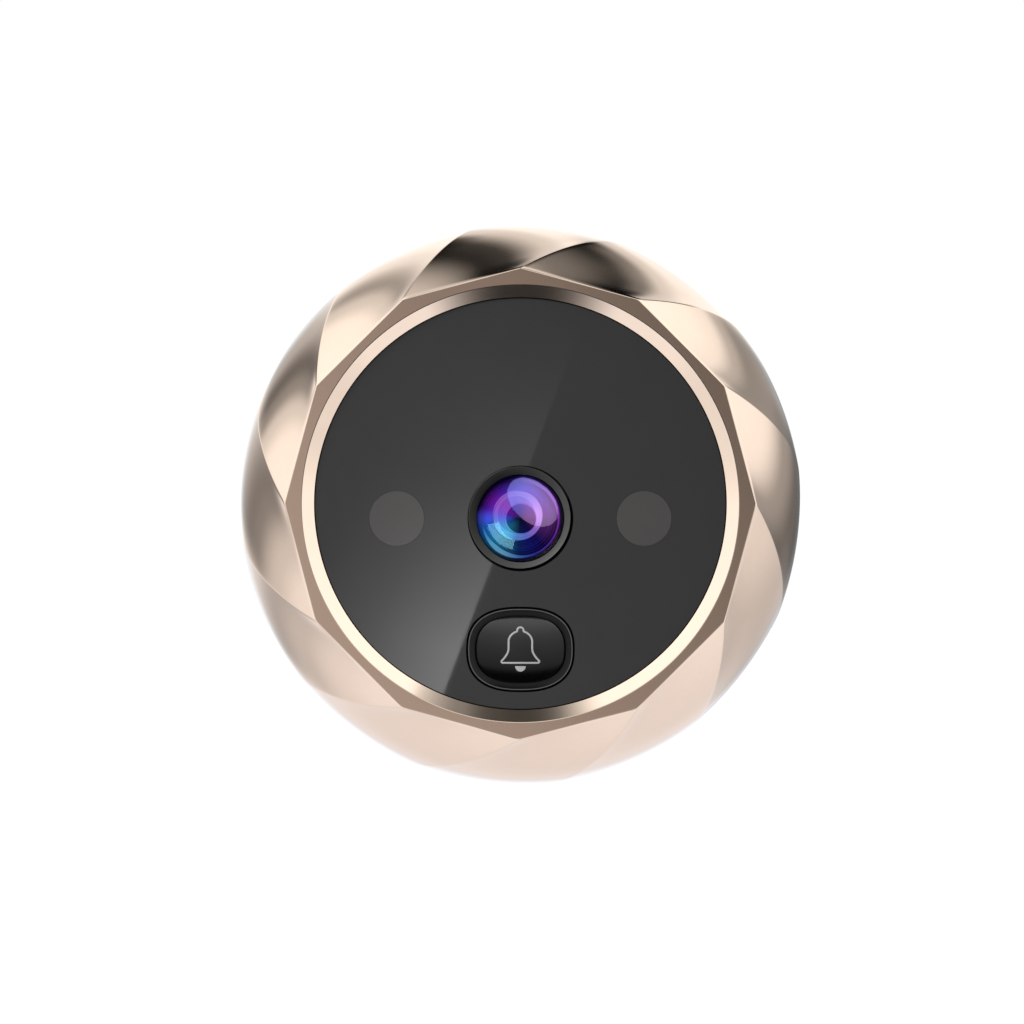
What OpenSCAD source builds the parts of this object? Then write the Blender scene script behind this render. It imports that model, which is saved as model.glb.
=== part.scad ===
// Outdoor unit of a peephole door camera: a twisted, faceted metal body with a dark front panel that
// carries a lens, two infrared windows and a bell button, and a stem that passes through the door.
// Pieces are drawn with the door face at z = 0 and the front towards +z, then seated with +Z up.

/* [Body] */
// Greatest width of the body, across opposite ridges
body_d = 62; // [61:0.5:70]
// Depth of the body, from the door to the flat front rim
body_depth = 24; // [23.5:0.5:30]
// How much narrower the front rim is than the widest ring, all round
rim_inset = 5.5; // [4:0.5:6.5]
// How much narrower the body is at the door than at the widest ring, all round
base_inset = 1.5; // [0.5:0.25:2.5]
// Height of the widest ring above the door
belly_h = 10; // [7:0.5:13]
// Number of twisted facets round the body
facet_count = 12; // [11:1:16]
// Turn of each ridge from the front rim to the widest ring, in degrees
ridge_turn = 24; // [12:1:30]
// How much faster a ridge turns at the front rim than on average
ridge_lead = 0.4; // [0:0.1:0.6]
// Bulge of each facet's middle at the widest ring
facet_bulge = 0.9; // [0:0.1:1]
// Width of the broken edge round the front rim
edge_break = 0.2; // [0.1:0.05:0.4]
// Gap between the body's back edge and the door
door_gap = 0.3; // [0.1:0.1:0.8]
// Wall outside the rear cover
rim_wall = 1.5; // [1.2:0.1:2]
// Width of the shoulder that the rear cover sits on
cover_seat = 0.8; // [0.5:0.1:1.2]
// Width of a screw boss
boss_d = 5.2; // [4.6:0.1:5.6]

/* [Front panel] */
// Least width of the flat front rim
rim_flat = 1; // [0.6:0.1:1.6]
// Width of the polished bevel round the panel
bevel_w = 1.3; // [0.8:0.1:1.8]
// Depth of the polished bevel
bevel_depth = 1.3; // [0.8:0.1:2]
// Depth of the panel's face below the foot of the bevel
panel_drop = 0.1; // [0:0.05:0.4]
// Thickness of the panel
panel_t = 2; // [1.5:0.1:2.5]
// Clearance round the panel
panel_gap = 0.1; // [0.05:0.05:0.2]
// Thickness of the adhesive ring behind the panel
tape_t = 0.3; // [0.2:0.1:0.6]
// Width of the ledge behind the panel
ledge_w = 1.5; // [1:0.1:1.7]
// Thickness of the ledge
ledge_t = 1.8; // [1.4:0.1:2.4]

/* [Camera] */
// Place of the lens axis below the body's axis, as a share of the panel's radius
lens_place = 0.0715; // [0.04:0.005:0.1]
// Visible width of the front glass
lens_view_d = 9.5; // [9:0.1:10]
// Radius of the front glass dome
lens_dome_r = 7.7; // [6.5:0.1:12]
// Thickness of the front glass at its middle
lens_glass_t = 1.2; // [0.8:0.1:1.6]
// Width of the sloping face of the lens ring
funnel_w = 0.85; // [0.7:0.05:1.2]
// Depth of the sloping face of the lens ring
funnel_depth = 0.9; // [0.6:0.1:1.2]
// Width of the lens thread
thread_d = 8; // [7.2:0.2:8.6]
// Width of the bore that holds the inner lens elements
element_bore_d = 5.9; // [5:0.1:6.2]
// Gap between the main board and the camera board
header_h = 2.8; // [2.4:0.1:3.2]
// Thickness of the camera board
camera_board_t = 1; // [0.8:0.1:1.2]
// Distance from the image sensor to the lens barrel
back_focus = 1.5; // [1.3:0.1:2]

/* [Night vision] */
// Place of an infrared window beside the body's axis, as a share of the panel's radius
ir_place = 0.596; // [0.54:0.01:0.66]
// Width of an infrared window
ir_window_d = 5.9; // [5:0.1:6.6]
// Width of an infrared LED
led_d = 5; // [4.6:0.1:5.2]
// Height of an infrared LED above the board
led_h = 6.8; // [6:0.1:8.4]
// Gap between an LED's tip and the panel
led_clear = 0.4; // [0.2:0.1:0.6]

/* [Button] */
// Place of the button's middle below the body's axis, as a share of the panel's radius
button_place = 0.703; // [0.67:0.005:0.71]
// Width of the button cap, as a share of the panel's radius
cap_w_share = 0.43; // [0.38:0.01:0.46]
// Height of the button cap, as a share of the panel's radius
cap_h_share = 0.318; // [0.28:0.01:0.33]
// Width of the sloping frame round the cap
frame_border = 1; // [0.7:0.1:1.1]
// Depth of the frame's slope
frame_slope = 0.6; // [0.3:0.1:1]
// Rise of the cap's crown
cap_crown = 0.7; // [0.4:0.1:1.2]
// Height of the cap's crown above the panel
cap_proud = 0.25; // [0:0.05:0.5]
// How square the button's outline is: 2 is an ellipse
squareness = 2.5; // [2.2:0.1:3]
// Travel of the button
button_travel = 0.5; // [0.3:0.05:0.6]
// Height of the push switch above the board
switch_h = 4.3; // [4:0.1:5]
// Width of the push switch
switch_w = 6; // [5.6:0.1:6.4]
// Width of the bell sign across its lip, as a share of the cap's width
bell_share = 0.417; // [0.34:0.01:0.48]
// Width of the bell sign's line
bell_line = 0.22; // [0.16:0.02:0.3]

/* [Door fitting] */
// Width of the stem that passes through the door
stem_d = 15; // [14.4:0.1:16]
// Length of the stem behind the door face
stem_len = 24; // [16:1:40]
// Width of the stem's collar in the rear cover
collar_d = 17; // [16.6:0.1:18]
// Width of the stem's flange
flange_d = 25; // [24.4:0.2:27]
// Thickness of the stem's flange
flange_t = 1.6; // [1.4:0.1:1.8]
// Width of the ribbon slot through the stem
slot_w = 4.6; // [4.4:0.1:4.8]
// Height of the ribbon slot through the stem
slot_h = 11; // [9:0.5:12]
// Distance between the two threaded inserts
bolt_spacing = 9.8; // [9.6:0.1:10]
// Width of the threaded hole in an insert
bolt_hole_d = 2.5; // [2:0.1:2.8]
// Width of a threaded insert
insert_d = 4; // [3.6:0.1:4.2]
// Length of a threaded insert
insert_len = 8; // [5:0.5:12]
// Thickness of the rear cover
cover_t = 2; // [1.8:0.1:2.4]
// Thickness of the foam ring against the door
gasket_t = 1; // [0.8:0.1:1.3]
// Distance between the foam ring and the cover's screw heads
gasket_margin = 1; // [0.5:0.1:3]
// Width of the hole in the foam ring
gasket_hole_d = 20; // [18.4:0.2:24]

/* [Boards and screws] */
// Thickness of the main board
board_t = 1.6; // [1.2:0.1:1.8]
// Width of a screw's thread
screw_d = 2; // [1.8:0.1:2.2]
// Width of a screw's head
screw_head_d = 3.7; // [3.3:0.1:3.9]
// Height of a screw's head
screw_head_h = 1.1; // [0.9:0.1:1.2]
// Length of a body screw's thread
screw_len = 7; // [5:0.5:8]
// Width of a small screw's thread
small_screw_d = 1.6; // [1.4:0.1:1.7]
// Width of a small screw's head
small_head_d = 2.8; // [2.5:0.1:3]
// Height of a small screw's head
small_head_h = 0.7; // [0.5:0.1:0.8]

/* [Fits] */
// Clearance of pieces that are pressed, screwed or bonded together
slip = 0.05; // [0.03:0.01:0.08]
// Clearance round the moving button
run = 0.1; // [0.06:0.02:0.2]

/* [Hidden] */
$fn = 64;
fine = 240;
over = 1;
front_rows = 14;
rear_rows = 8;
facet_steps = 4;
outline_points = 72;

// Radii of the body
body_r = body_d / 2;
rim_r = body_r - rim_inset;
base_r = body_r - base_inset;
flat_share = cos(180 / facet_count);
recess_r = base_r * flat_share - rim_wall;
cavity_r = recess_r - cover_seat;
bevel_r = rim_r * flat_share - rim_flat;
window_r = bevel_r - bevel_w;
ledge_r = window_r - ledge_w;
boss_r = boss_d / 2;
boss_bite = 0.3;
boss_clear = 0.1;
boss_ring_r = cavity_r - boss_r + boss_bite;
board_boss_angles = [90, 210, 330];
cover_boss_angles = [30, 150, 270];
screw_r = screw_d / 2;
pilot_r = screw_r + slip;
pilot_tip = 0.5;

// Heights from the front back to the camera board
bevel_foot_z = body_depth - bevel_depth;
panel_front_z = bevel_foot_z - panel_drop;
panel_back_z = panel_front_z - panel_t;
ledge_z = panel_back_z - tape_t;
ledge_back_z = ledge_z - ledge_t;
board_front_z = panel_back_z - led_clear - led_h;
board_back_z = board_front_z - board_t;
camera_front_z = board_back_z - header_h;
camera_back_z = camera_front_z - camera_board_t;

// Heights from the door forward
cover_back_z = gasket_t;
cover_front_z = cover_back_z + cover_t;
flange_front_z = cover_front_z + flange_t;

// Places on the panel
lens_drop = lens_place * window_r;
led_x = ir_place * window_r;
button_drop = button_place * window_r;
cap_w = cap_w_share * window_r;
cap_h = cap_h_share * window_r;

// Lens: radii, then heights
view_r = lens_view_d / 2;
bezel_r = view_r + funnel_w;
bezel_flange_r = bezel_r + 1;
bezel_flange_t = 0.8;
bezel_lip_t = 0.4;
glass_r = view_r + 0.15;
head_r = glass_r + 0.35;
thread_r = thread_d / 2;
element_r = element_bore_d / 2 - slip;
barrel_lip_r = element_r - 0.7;
step_r = [glass_r - 0.6, glass_r - 1.3];
bezel_front_z = panel_front_z + 0.1;
funnel_z = bezel_front_z - funnel_depth;
bezel_lip_z = funnel_z - bezel_lip_t;
head_top_z = bezel_lip_z - slip;
glass_edge_z = head_top_z - 0.2;
glass_edge_t = 0.9;
glass_sag = lens_dome_r - sqrt(pow(lens_dome_r, 2) - pow(glass_r, 2));
glass_apex_z = glass_edge_z + glass_sag;
seat_z = glass_edge_z - glass_edge_t;
step_z = [seat_z - 1, seat_z - 2];
head_len = 4.7;
head_z = head_top_z - head_len;
sensor_t = 0.8;
sensor_top_z = camera_front_z + sensor_t;
barrel_z = sensor_top_z + back_focus;
shelf_z = barrel_z + 1;
rear_element_t = 1.6;
stop_t = 0.4;
front_element_edge_t = 1.6;
second_z = step_z[1] - 0.2 - front_element_edge_t;

// Lens holder and camera board
holder_wall = 1.6;
tower_r = thread_r + holder_wall;
tower_top_z = head_z - 1;
holder_w = 14;
holder_foot_t = header_h - 0.8;
holder_ear_x = 8.2;
holder_ear_w = 4;
filter_w = 7;
filter_t = 0.3;
filter_top_z = barrel_z - 0.4;
camera_board_w = 20.8;
camera_board_low = 7.6;
camera_board_high = 10;
header = [10, 2.2];
header_y = 8.6;
header_seam = 0.2;
sensor = [6.4, 5.4];
sensor_glass = [4.8, 3.6];

// Main board
board_r = boss_ring_r - boss_r - 0.5;
ear_r = boss_r - boss_bite - 0.2;
board_hole_r = tower_r + 0.6;
led_r = led_d / 2;
led_flange_r = led_r + 0.4;
led_flange_t = 1;
lead_x = 1.27;
lead_w = 0.5;
lead_end = 0.5;
shroud_in_r = led_flange_r + 0.1;
shroud_wall = 0.8;
connector_w = 12;
connector_d = 4.4;
connector_h = 1.9;
connector_y = board_r - connector_d / 2 - 4.6;
chip_w = 6.4;
chip_h = 1.2;
chip_pin = [0.35, 0.6, 0.3];
chip_place = board_r * 0.48;
capacitor = [1.6, 0.9, 0.9];
capacitor_pitch = capacitor[0] * 1.5;
capacitor_y = board_r * 0.6;
inductor_r = 2.2;
inductor_h = 2.1;
inductor_rim = 0.4;
inductor_place = [-board_r * 0.52, board_r * 0.37];

// Button and its switch
frame_w = cap_w + 2 * frame_border;
frame_h = cap_h + 2 * frame_border;
frame_rim = 0.15;
frame_guide = 0.8;
frame_front_z = panel_front_z + 0.1;
frame_back_z = panel_back_z - frame_guide;
cap_apex_z = panel_front_z + cap_proud;
cap_ball_r = (pow(cap_w / 2, 2) + pow(cap_crown, 2)) / (2 * cap_crown);
cap_flange_w = 0.6;
cap_flange_t = 0.7;
cap_flange_z = frame_back_z - run - cap_flange_t;
post_r = 1.5;
stem_top_z = board_front_z + switch_h;
switch_base_h = switch_h - 1.8;
switch_floor = 0.8;
switch_cover_t = 0.3;
switch_well_r = switch_w / 2 - 0.6;
switch_top_z = board_front_z + switch_base_h;
dome_t = 0.1;
dome_rise = button_travel + 0.25;
dome_r = switch_well_r - 0.2;
dome_base_z = board_front_z + switch_floor;
dome_ball_r = (pow(dome_r, 2) + pow(dome_rise, 2)) / (2 * dome_rise);
plunger_r = 1.7;
plunger_z = dome_base_z + dome_rise + dome_t + slip;
terminal_x = switch_w / 2 + 0.2;
terminal_y = 2.25;
inlay_depth = 0.4;

// Door fitting
gasket_r = boss_ring_r - screw_head_d / 2 - gasket_margin;
stem_r = stem_d / 2;
stem_chamfer = 0.6;
collar_r = collar_d / 2;
flange_r = flange_d / 2;
flange_screw_ring = (collar_r + flange_r) / 2;
flange_screw_angles = [0, 120, 240];
small_screw_r = small_screw_d / 2;
flange_screw_len = flange_t - small_head_h + cover_t - 0.5;

// Shared shapes

// Turns a piece from the drawing position to its place: front towards -Y, up towards +Z
module seated() rotate([90, 0, 0]) children();

module at_lens(z = 0) translate([0, -lens_drop, z]) children();

module at_button(z = 0) translate([0, -button_drop, z]) children();

module at_led(side, z = 0) translate([side * led_x, -lens_drop, z]) children();

module tube(outer_r, inner_r, h) difference() {
    cylinder(r = outer_r, h = h);
    translate([0, 0, -over]) cylinder(r = inner_r, h = h + 2 * over);
}

module block(w, d, h) translate([-w / 2, -d / 2, 0]) cube([w, d, h]);

// Screw whose head stands on z = 0 and whose thread runs up from there
module screw(thread_r, head_r, head_h, len) {
    slot_len = head_r * 1.2;
    slot_t = head_r * 0.26;
    difference() {
        translate([0, 0, -head_h]) cylinder(r = head_r, h = head_h);
        for (turn = [0, 90])
            rotate(turn) translate([0, 0, -head_h - over]) block(slot_len, slot_t, over + head_h * 0.6);
    }
    translate([0, 0, -head_h * 0.1]) cylinder(r = thread_r, h = len + head_h * 0.1);
}

// Outline between an ellipse and a rectangle, as points
function squircle(w, h) = [
    for (k = [0 : outline_points - 1])
        let (a = 360 * k / outline_points, p = 2 / squareness)
        [w / 2 * sign(cos(a)) * pow(abs(cos(a)), p), h / 2 * sign(sin(a)) * pow(abs(sin(a)), p)]
];

// Twisted body

// Distance of a ridge from the axis at height z
function ridge_r(z) = z >= belly_h
    ? rim_r + (body_r - rim_r) * sin(90 * (body_depth - z) / (body_depth - belly_h))
    : body_r - (body_r - base_r) * (1 - cos(90 * (belly_h - z) / belly_h));

// Share of the turn that a ridge has made, for a share s of the way from the front rim to the widest ring
function turn_share(s) = s < 1 ? s + ridge_lead * s * (1 - s) : 1 + (1 - ridge_lead) * (s - 1);

// Turn of the ridges at height z: clockwise towards the door, seen from the front
function ridge_angle(z) = -ridge_turn * turn_share((body_depth - z) / (body_depth - belly_h));

function corner(z, r, k) = let (a = 90 + 360 * k / facet_count + ridge_angle(z)) [r * cos(a), r * sin(a), z];

// Bulge of the facets at height z: none at the front rim, full from the widest ring to the door
function bulge(z) = facet_bulge * sin(90 * min(1, (body_depth - z) / (body_depth - belly_h)));

// Point a share t of the way along a facet at height z
function facet_point(z, r, k, t) =
    let (p = corner(z, r, k) * (1 - t) + corner(z, r, k + 1) * t, out = [p[0], p[1], 0])
    p + out / norm(out) * bulge(z) * 4 * t * (1 - t);

// Points round the body at height z
function ring(z, r) = [
    for (k = [0 : facet_count - 1], s = [0 : facet_steps - 1]) facet_point(z, r, k, s / facet_steps)
];

break_z = body_depth - edge_break;
row_heights = concat(
    [for (i = [0 : front_rows]) break_z - (break_z - belly_h) * i / front_rows],
    [for (i = [1 : rear_rows]) belly_h - (belly_h - door_gap) * i / rear_rows]
);

module twisted_body() {
    rows = concat([ring(body_depth, rim_r - edge_break)], [for (z = row_heights) ring(z, ridge_r(z))]);
    n = facet_count * facet_steps;
    last = len(rows) - 1;
    front_middle = len(rows) * n;
    back_middle = front_middle + 1;
    points = concat([for (row = rows, p = row) p], [[0, 0, body_depth], [0, 0, door_gap]]);
    sides = [
        for (i = [0 : last - 1], j = [0 : n - 1])
            let (a = i * n + j, b = i * n + (j + 1) % n, c = a + n, d = b + n)
            each [[a, b, c], [b, d, c]]
    ];
    front_cap = [for (j = [0 : n - 1]) [front_middle, (j + 1) % n, j]];
    back_cap = [for (j = [0 : n - 1]) [back_middle, last * n + j, last * n + (j + 1) % n]];
    polyhedron(points = points, faces = concat(sides, front_cap, back_cap), convexity = 4);
}

// Space inside the body: rear recess, cavity, panel recess and bevel
module body_hollow() {
    slope = (bevel_r - window_r) / bevel_depth;
    rotate_extrude() polygon([
        [0, -over], [recess_r, -over], [recess_r, cover_front_z], [cavity_r, cover_front_z],
        [cavity_r, ledge_back_z], [ledge_r, ledge_back_z], [ledge_r, ledge_z], [window_r, ledge_z],
        [window_r, bevel_foot_z], [bevel_r + slope * over, body_depth + over], [0, body_depth + over]
    ]);
}

module on_boss(angle, z) rotate(angle) translate([boss_ring_r, 0, z]) children();

module boss(angle, z) on_boss(angle, z) cylinder(r = boss_r, h = ledge_back_z - z + boss_bite);

module boss_hole(angle, z) on_boss(angle, z - over) cylinder(r = pilot_r, h = screw_len + pilot_tip + over);

module housing() seated() color("#d9b9a3") difference() {
    union() {
        difference() {
            twisted_body();
            body_hollow();
        }
        for (a = board_boss_angles) boss(a, board_front_z);
        for (a = cover_boss_angles) boss(a, cover_front_z + boss_clear);
    }
    for (a = board_boss_angles) boss_hole(a, board_front_z);
    for (a = cover_boss_angles) boss_hole(a, cover_front_z);
}

// Front panel

module front_panel() seated() color("#383838") difference() {
    translate([0, 0, panel_back_z]) cylinder(r = window_r - panel_gap, h = panel_t);
    at_lens(panel_back_z - over) cylinder(r = bezel_r + slip, h = panel_t + 2 * over);
    for (side = [-1, 1])
        at_led(side, panel_back_z - over) cylinder(d = ir_window_d + 2 * slip, h = panel_t + 2 * over);
    at_button(panel_back_z - over)
        linear_extrude(panel_t + 2 * over) polygon(squircle(frame_w + 2 * slip, frame_h + 2 * slip));
}

module panel_tape() seated() color("#1c1c1c")
    translate([0, 0, ledge_z]) tube(window_r - panel_gap, ledge_r, tape_t);

module ir_window(side) seated() color("#4c4c4c")
    at_led(side, panel_back_z) cylinder(d = ir_window_d, h = panel_t);

module ir_window_left() ir_window(-1);

module ir_window_right() ir_window(1);

// Camera

module lens_bezel() seated() color("#33332f") at_lens() rotate_extrude() polygon([
    [view_r, funnel_z], [bezel_r - 0.1, bezel_front_z], [bezel_r, bezel_front_z],
    [bezel_r, panel_back_z], [bezel_flange_r, panel_back_z],
    [bezel_flange_r, panel_back_z - bezel_flange_t], [head_r + slip, panel_back_z - bezel_flange_t],
    [head_r + slip, bezel_lip_z], [view_r, bezel_lip_z]
]);

module lens_seal() seated() color("#202020")
    at_lens(panel_back_z - bezel_flange_t - 1.5) tube(bezel_flange_r, head_r + slip, 1.5);

// Meniscus with a domed front and a dished back
module lens_front_element() seated() color("#5a3fc0") at_lens() {
    dish_r = glass_r - 0.7;
    dish_apex_z = glass_apex_z - lens_glass_t;
    dish_sag = dish_apex_z - seat_z;
    dish_ball_r = (pow(dish_r, 2) + pow(dish_sag, 2)) / (2 * dish_sag);
    difference() {
        intersection() {
            translate([0, 0, glass_apex_z - lens_dome_r]) sphere(r = lens_dome_r);
            translate([0, 0, seat_z]) cylinder(r = glass_r, h = glass_apex_z - seat_z + over);
        }
        translate([0, 0, dish_apex_z - dish_ball_r]) sphere(r = dish_ball_r);
    }
}

module lens_barrel() seated() color("#1b1b20") at_lens() rotate_extrude() polygon([
    [barrel_lip_r, barrel_z], [thread_r, barrel_z], [thread_r, head_z], [head_r, head_z],
    [head_r, head_top_z], [glass_r + slip, head_top_z], [glass_r + slip, seat_z],
    [step_r[0], seat_z], [step_r[0], step_z[0]], [step_r[1], step_z[0]], [step_r[1], step_z[1]],
    [element_r + slip, step_z[1]], [element_r + slip, shelf_z], [barrel_lip_r, shelf_z]
]);

module lens_second_element() seated() color("#3a55d8") at_lens(second_z) {
    crown_r = 6;
    crown_z = front_element_edge_t + crown_r - sqrt(pow(crown_r, 2) - pow(element_r, 2));
    intersection() {
        cylinder(r = element_r, h = crown_z + over);
        translate([0, 0, crown_z - crown_r]) sphere(r = crown_r);
    }
}

module aperture_stop() seated() color("#0e0e10")
    at_lens(second_z - stop_t) tube(element_r, 1.1, stop_t);

module lens_spacer() seated() color("#151518") {
    spacer_z = shelf_z + rear_element_t;
    at_lens(spacer_z) tube(element_r, element_r - 0.5, second_z - stop_t - spacer_z);
}

module lens_rear_element() seated() color("#8fb4d8") at_lens(shelf_z) {
    crown_r = 7;
    edge_t = rear_element_t - (crown_r - sqrt(pow(crown_r, 2) - pow(element_r - 0.5, 2)));
    intersection() {
        cylinder(r = element_r, h = rear_element_t);
        union() {
            cylinder(r = element_r, h = edge_t);
            translate([0, 0, rear_element_t - crown_r]) sphere(r = crown_r);
        }
        translate([0, 0, crown_r - 0.7]) sphere(r = crown_r);
    }
    // Land that the spacer presses on
    tube(element_r, element_r - 0.4, rear_element_t);
}

module lens_holder() seated() color("#1f1f22") at_lens() difference() {
    union() {
        translate([0, 0, camera_front_z]) {
            block(holder_w, holder_w, holder_foot_t);
            block(2 * holder_ear_x + holder_ear_w, holder_ear_w, holder_foot_t);
            cylinder(r = tower_r, h = tower_top_z - camera_front_z);
        }
    }
    translate([0, 0, barrel_z - slip]) cylinder(r = thread_r + slip, h = tower_top_z - barrel_z + over);
    translate([0, 0, camera_front_z - over])
        block(filter_w + 2 * slip, filter_w + 2 * slip, filter_top_z - camera_front_z + over);
    translate([0, 0, camera_front_z]) cylinder(r = barrel_lip_r, h = back_focus + sensor_t + over);
    for (side = [-1, 1])
        translate([side * holder_ear_x, 0, camera_front_z - over])
            cylinder(r = small_screw_r + slip, h = holder_foot_t + 2 * over);
}

module ir_cut_filter() seated() color("#9fd0c8")
    at_lens(filter_top_z - filter_t) block(filter_w, filter_w, filter_t);

module image_sensor() seated() color("#4a4d55") at_lens(camera_front_z) {
    block(sensor[0], sensor[1], sensor_t * 0.8);
    block(sensor_glass[0], sensor_glass[1], sensor_t);
}

module camera_board() seated() color("#1f6b3a") at_lens(camera_back_z) difference() {
    translate([-camera_board_w / 2, -camera_board_low, 0])
        cube([camera_board_w, camera_board_low + camera_board_high, camera_board_t]);
    for (side = [-1, 1])
        translate([side * holder_ear_x, 0, -over])
            cylinder(r = small_screw_r + slip, h = camera_board_t + 2 * over);
}

module camera_screws() seated() color("#a9acb0") for (side = [-1, 1])
    at_lens(camera_back_z) translate([side * holder_ear_x, 0, 0])
        screw(small_screw_r, small_head_d / 2, small_head_h, camera_board_t + holder_foot_t - 0.3);

// Mated plug and socket between the two boards, with the seam where they meet
module camera_header() seated() color("#d8d2c0")
    at_lens(camera_front_z) translate([0, header_y, 0]) {
        half = (header_h - header_seam) / 2;
        block(header[0], header[1], half);
        block(header[0] - 2 * header_seam, header[1] - 2 * header_seam, header_h);
        translate([0, 0, header_h - half]) block(header[0], header[1], half);
    }

// Main board

module main_board() seated() color("#1b5f34") translate([0, 0, board_back_z]) difference() {
    linear_extrude(board_t) difference() {
        union() {
            circle(r = board_r);
            for (a = board_boss_angles) rotate(a) {
                translate([0, -ear_r]) square([boss_ring_r, 2 * ear_r]);
                translate([boss_ring_r, 0]) circle(r = ear_r);
            }
        }
        translate([0, -lens_drop]) circle(r = board_hole_r);
        for (a = board_boss_angles) rotate(a) translate([boss_ring_r, 0]) circle(r = pilot_r);
        for (side = [-1, 1], lead = [-1, 1])
            translate([side * led_x + lead * lead_x, -lens_drop]) circle(r = lead_w);
        for (x = [-1, 1], y = [-1, 1])
            translate([x * terminal_x, y * terminal_y - button_drop]) circle(r = 0.5);
    }
}

module board_screws() seated() color("#a9acb0") for (a = board_boss_angles)
    on_boss(a, board_back_z) screw(screw_r, screw_head_d / 2, screw_head_h, screw_len);

// Round LED on its flange, with two leads through the board
module ir_led(side) seated() color("#6b6472") at_led(side, board_front_z) {
    lead_len = board_t + lead_end;
    cylinder(r = led_flange_r, h = led_flange_t);
    cylinder(r = led_r, h = led_h - led_r);
    translate([0, 0, led_h - led_r]) sphere(r = led_r);
    for (lead = [-1, 1])
        translate([lead * lead_x, 0, -lead_len]) block(lead_w, lead_w, lead_len + led_flange_t / 2);
}

module ir_led_left() ir_led(-1);

module ir_led_right() ir_led(1);

module led_shroud(side) seated() color("#161616") at_led(side, board_front_z)
    tube(shroud_in_r + shroud_wall, shroud_in_r, panel_back_z - slip - board_front_z);

module led_shroud_left() led_shroud(-1);

module led_shroud_right() led_shroud(1);

module processor_chip() seated() color("#17181a") translate([chip_place, chip_place, board_front_z]) {
    pins = 7;
    pitch = chip_w / (pins + 1);
    block(chip_w, chip_w, chip_h);
    for (turn = [0 : 90 : 270], i = [1 : pins])
        rotate(turn) translate([i * pitch - chip_w / 2, chip_w / 2, 0])
            block(chip_pin[0], 2 * chip_pin[1], chip_pin[2]);
}

module board_capacitors() seated() color("#b39b78") for (i = [1 : 5])
    translate([-i * capacitor_pitch - capacitor[0], capacitor_y, board_front_z])
        block(capacitor[0], capacitor[1], capacitor[2]);

module power_inductor() seated() color("#2a2a2c")
    translate([inductor_place[0], inductor_place[1], board_front_z]) {
        cylinder(r = inductor_r, h = inductor_rim);
        cylinder(r = inductor_r - inductor_rim, h = inductor_h);
        translate([0, 0, inductor_h - inductor_rim]) cylinder(r = inductor_r, h = inductor_rim);
    }

// Socket for the ribbon that runs through the door
module ribbon_connector() seated() color("#e4dfd0")
    translate([0, connector_y, board_back_z - connector_h]) difference() {
        mouth_h = connector_h * 0.3;
        block(connector_w, connector_d, connector_h);
        translate([0, -connector_d / 2, mouth_h])
            block(connector_w * 0.84, connector_d * 1.3, mouth_h);
    }

// Button

module button_frame() seated() color("#202020") at_button() difference() {
    translate([0, 0, frame_back_z]) linear_extrude(frame_front_z - frame_back_z)
        polygon(squircle(frame_w, frame_h));
    translate([0, 0, frame_back_z - over]) linear_extrude(frame_front_z - frame_back_z + 2 * over)
        polygon(squircle(cap_w + 2 * run, cap_h + 2 * run));
    hull() {
        translate([0, 0, frame_front_z - frame_slope])
            linear_extrude(slip) polygon(squircle(cap_w + 2 * run, cap_h + 2 * run));
        translate([0, 0, frame_front_z])
            linear_extrude(over) polygon(squircle(frame_w - 2 * frame_rim, frame_h - 2 * frame_rim));
    }
}

module cap_ball() translate([0, 0, cap_apex_z - cap_ball_r]) sphere(r = cap_ball_r, $fn = fine);

// Bell sign: outline with a curved flare, a domed top, a knob and a clapper below
bell_w = bell_share * cap_w;
bell_scale = bell_w / 4;
bell_foot_y = -1.4 * bell_scale;
bell_waist = 1.25 * bell_scale;
bell_flare_h = 2.2 * bell_scale;

function bell_half(t) = bell_waist + (bell_w / 2 - bell_waist) * pow(1 - t, 2);

// Bell outline drawn in from its edge by the inset
module bell_shape(inset) {
    steps = 12;
    heights = [for (i = [0 : steps]) inset + (bell_flare_h - inset) * i / steps];
    side = [for (y = heights) [bell_half(y / bell_flare_h) - inset, y]];
    polygon(concat(side, [for (i = [steps : -1 : 0]) [-side[i][0], side[i][1]]]));
    translate([0, bell_flare_h]) circle(r = bell_waist - inset);
    translate([0, bell_flare_h + bell_waist]) circle(r = 0.38 * bell_scale - inset);
}

// The sign as a line, made wider all round by the growth
module bell_sign(growth = 0) translate([0, bell_foot_y]) {
    difference() {
        bell_shape(-growth);
        bell_shape(bell_line + growth);
    }
    clapper_r = 0.56 * bell_scale + growth;
    translate([0, growth - 0.36 * bell_scale]) intersection() {
        circle(r = clapper_r);
        translate([-clapper_r, -2 * clapper_r]) square([2 * clapper_r, 2 * clapper_r]);
    }
}

module button_cap() seated() color("#191919") at_button() difference() {
    union() {
        intersection() {
            translate([0, 0, cap_flange_z]) linear_extrude(cap_apex_z - cap_flange_z + over)
                polygon(squircle(cap_w, cap_h));
            cap_ball();
        }
        translate([0, 0, cap_flange_z]) linear_extrude(cap_flange_t)
            polygon(squircle(cap_w + 2 * cap_flange_w, cap_h + 2 * cap_flange_w));
        translate([0, 0, stem_top_z + slip]) cylinder(r = post_r, h = cap_flange_z - stem_top_z + slip);
    }
    translate([0, 0, cap_apex_z - inlay_depth]) linear_extrude(inlay_depth + over) bell_sign(slip / 2);
}

module bell_inlay() seated() color("#bdbdbd") at_button() intersection() {
    translate([0, 0, cap_apex_z - inlay_depth]) linear_extrude(inlay_depth + over) bell_sign();
    cap_ball();
}

// Push switch under the button

module switch_base() seated() color("#202124") at_button(board_front_z) difference() {
    block(switch_w, switch_w, switch_base_h);
    translate([0, 0, switch_floor]) cylinder(r = switch_well_r, h = switch_base_h);
}

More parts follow.
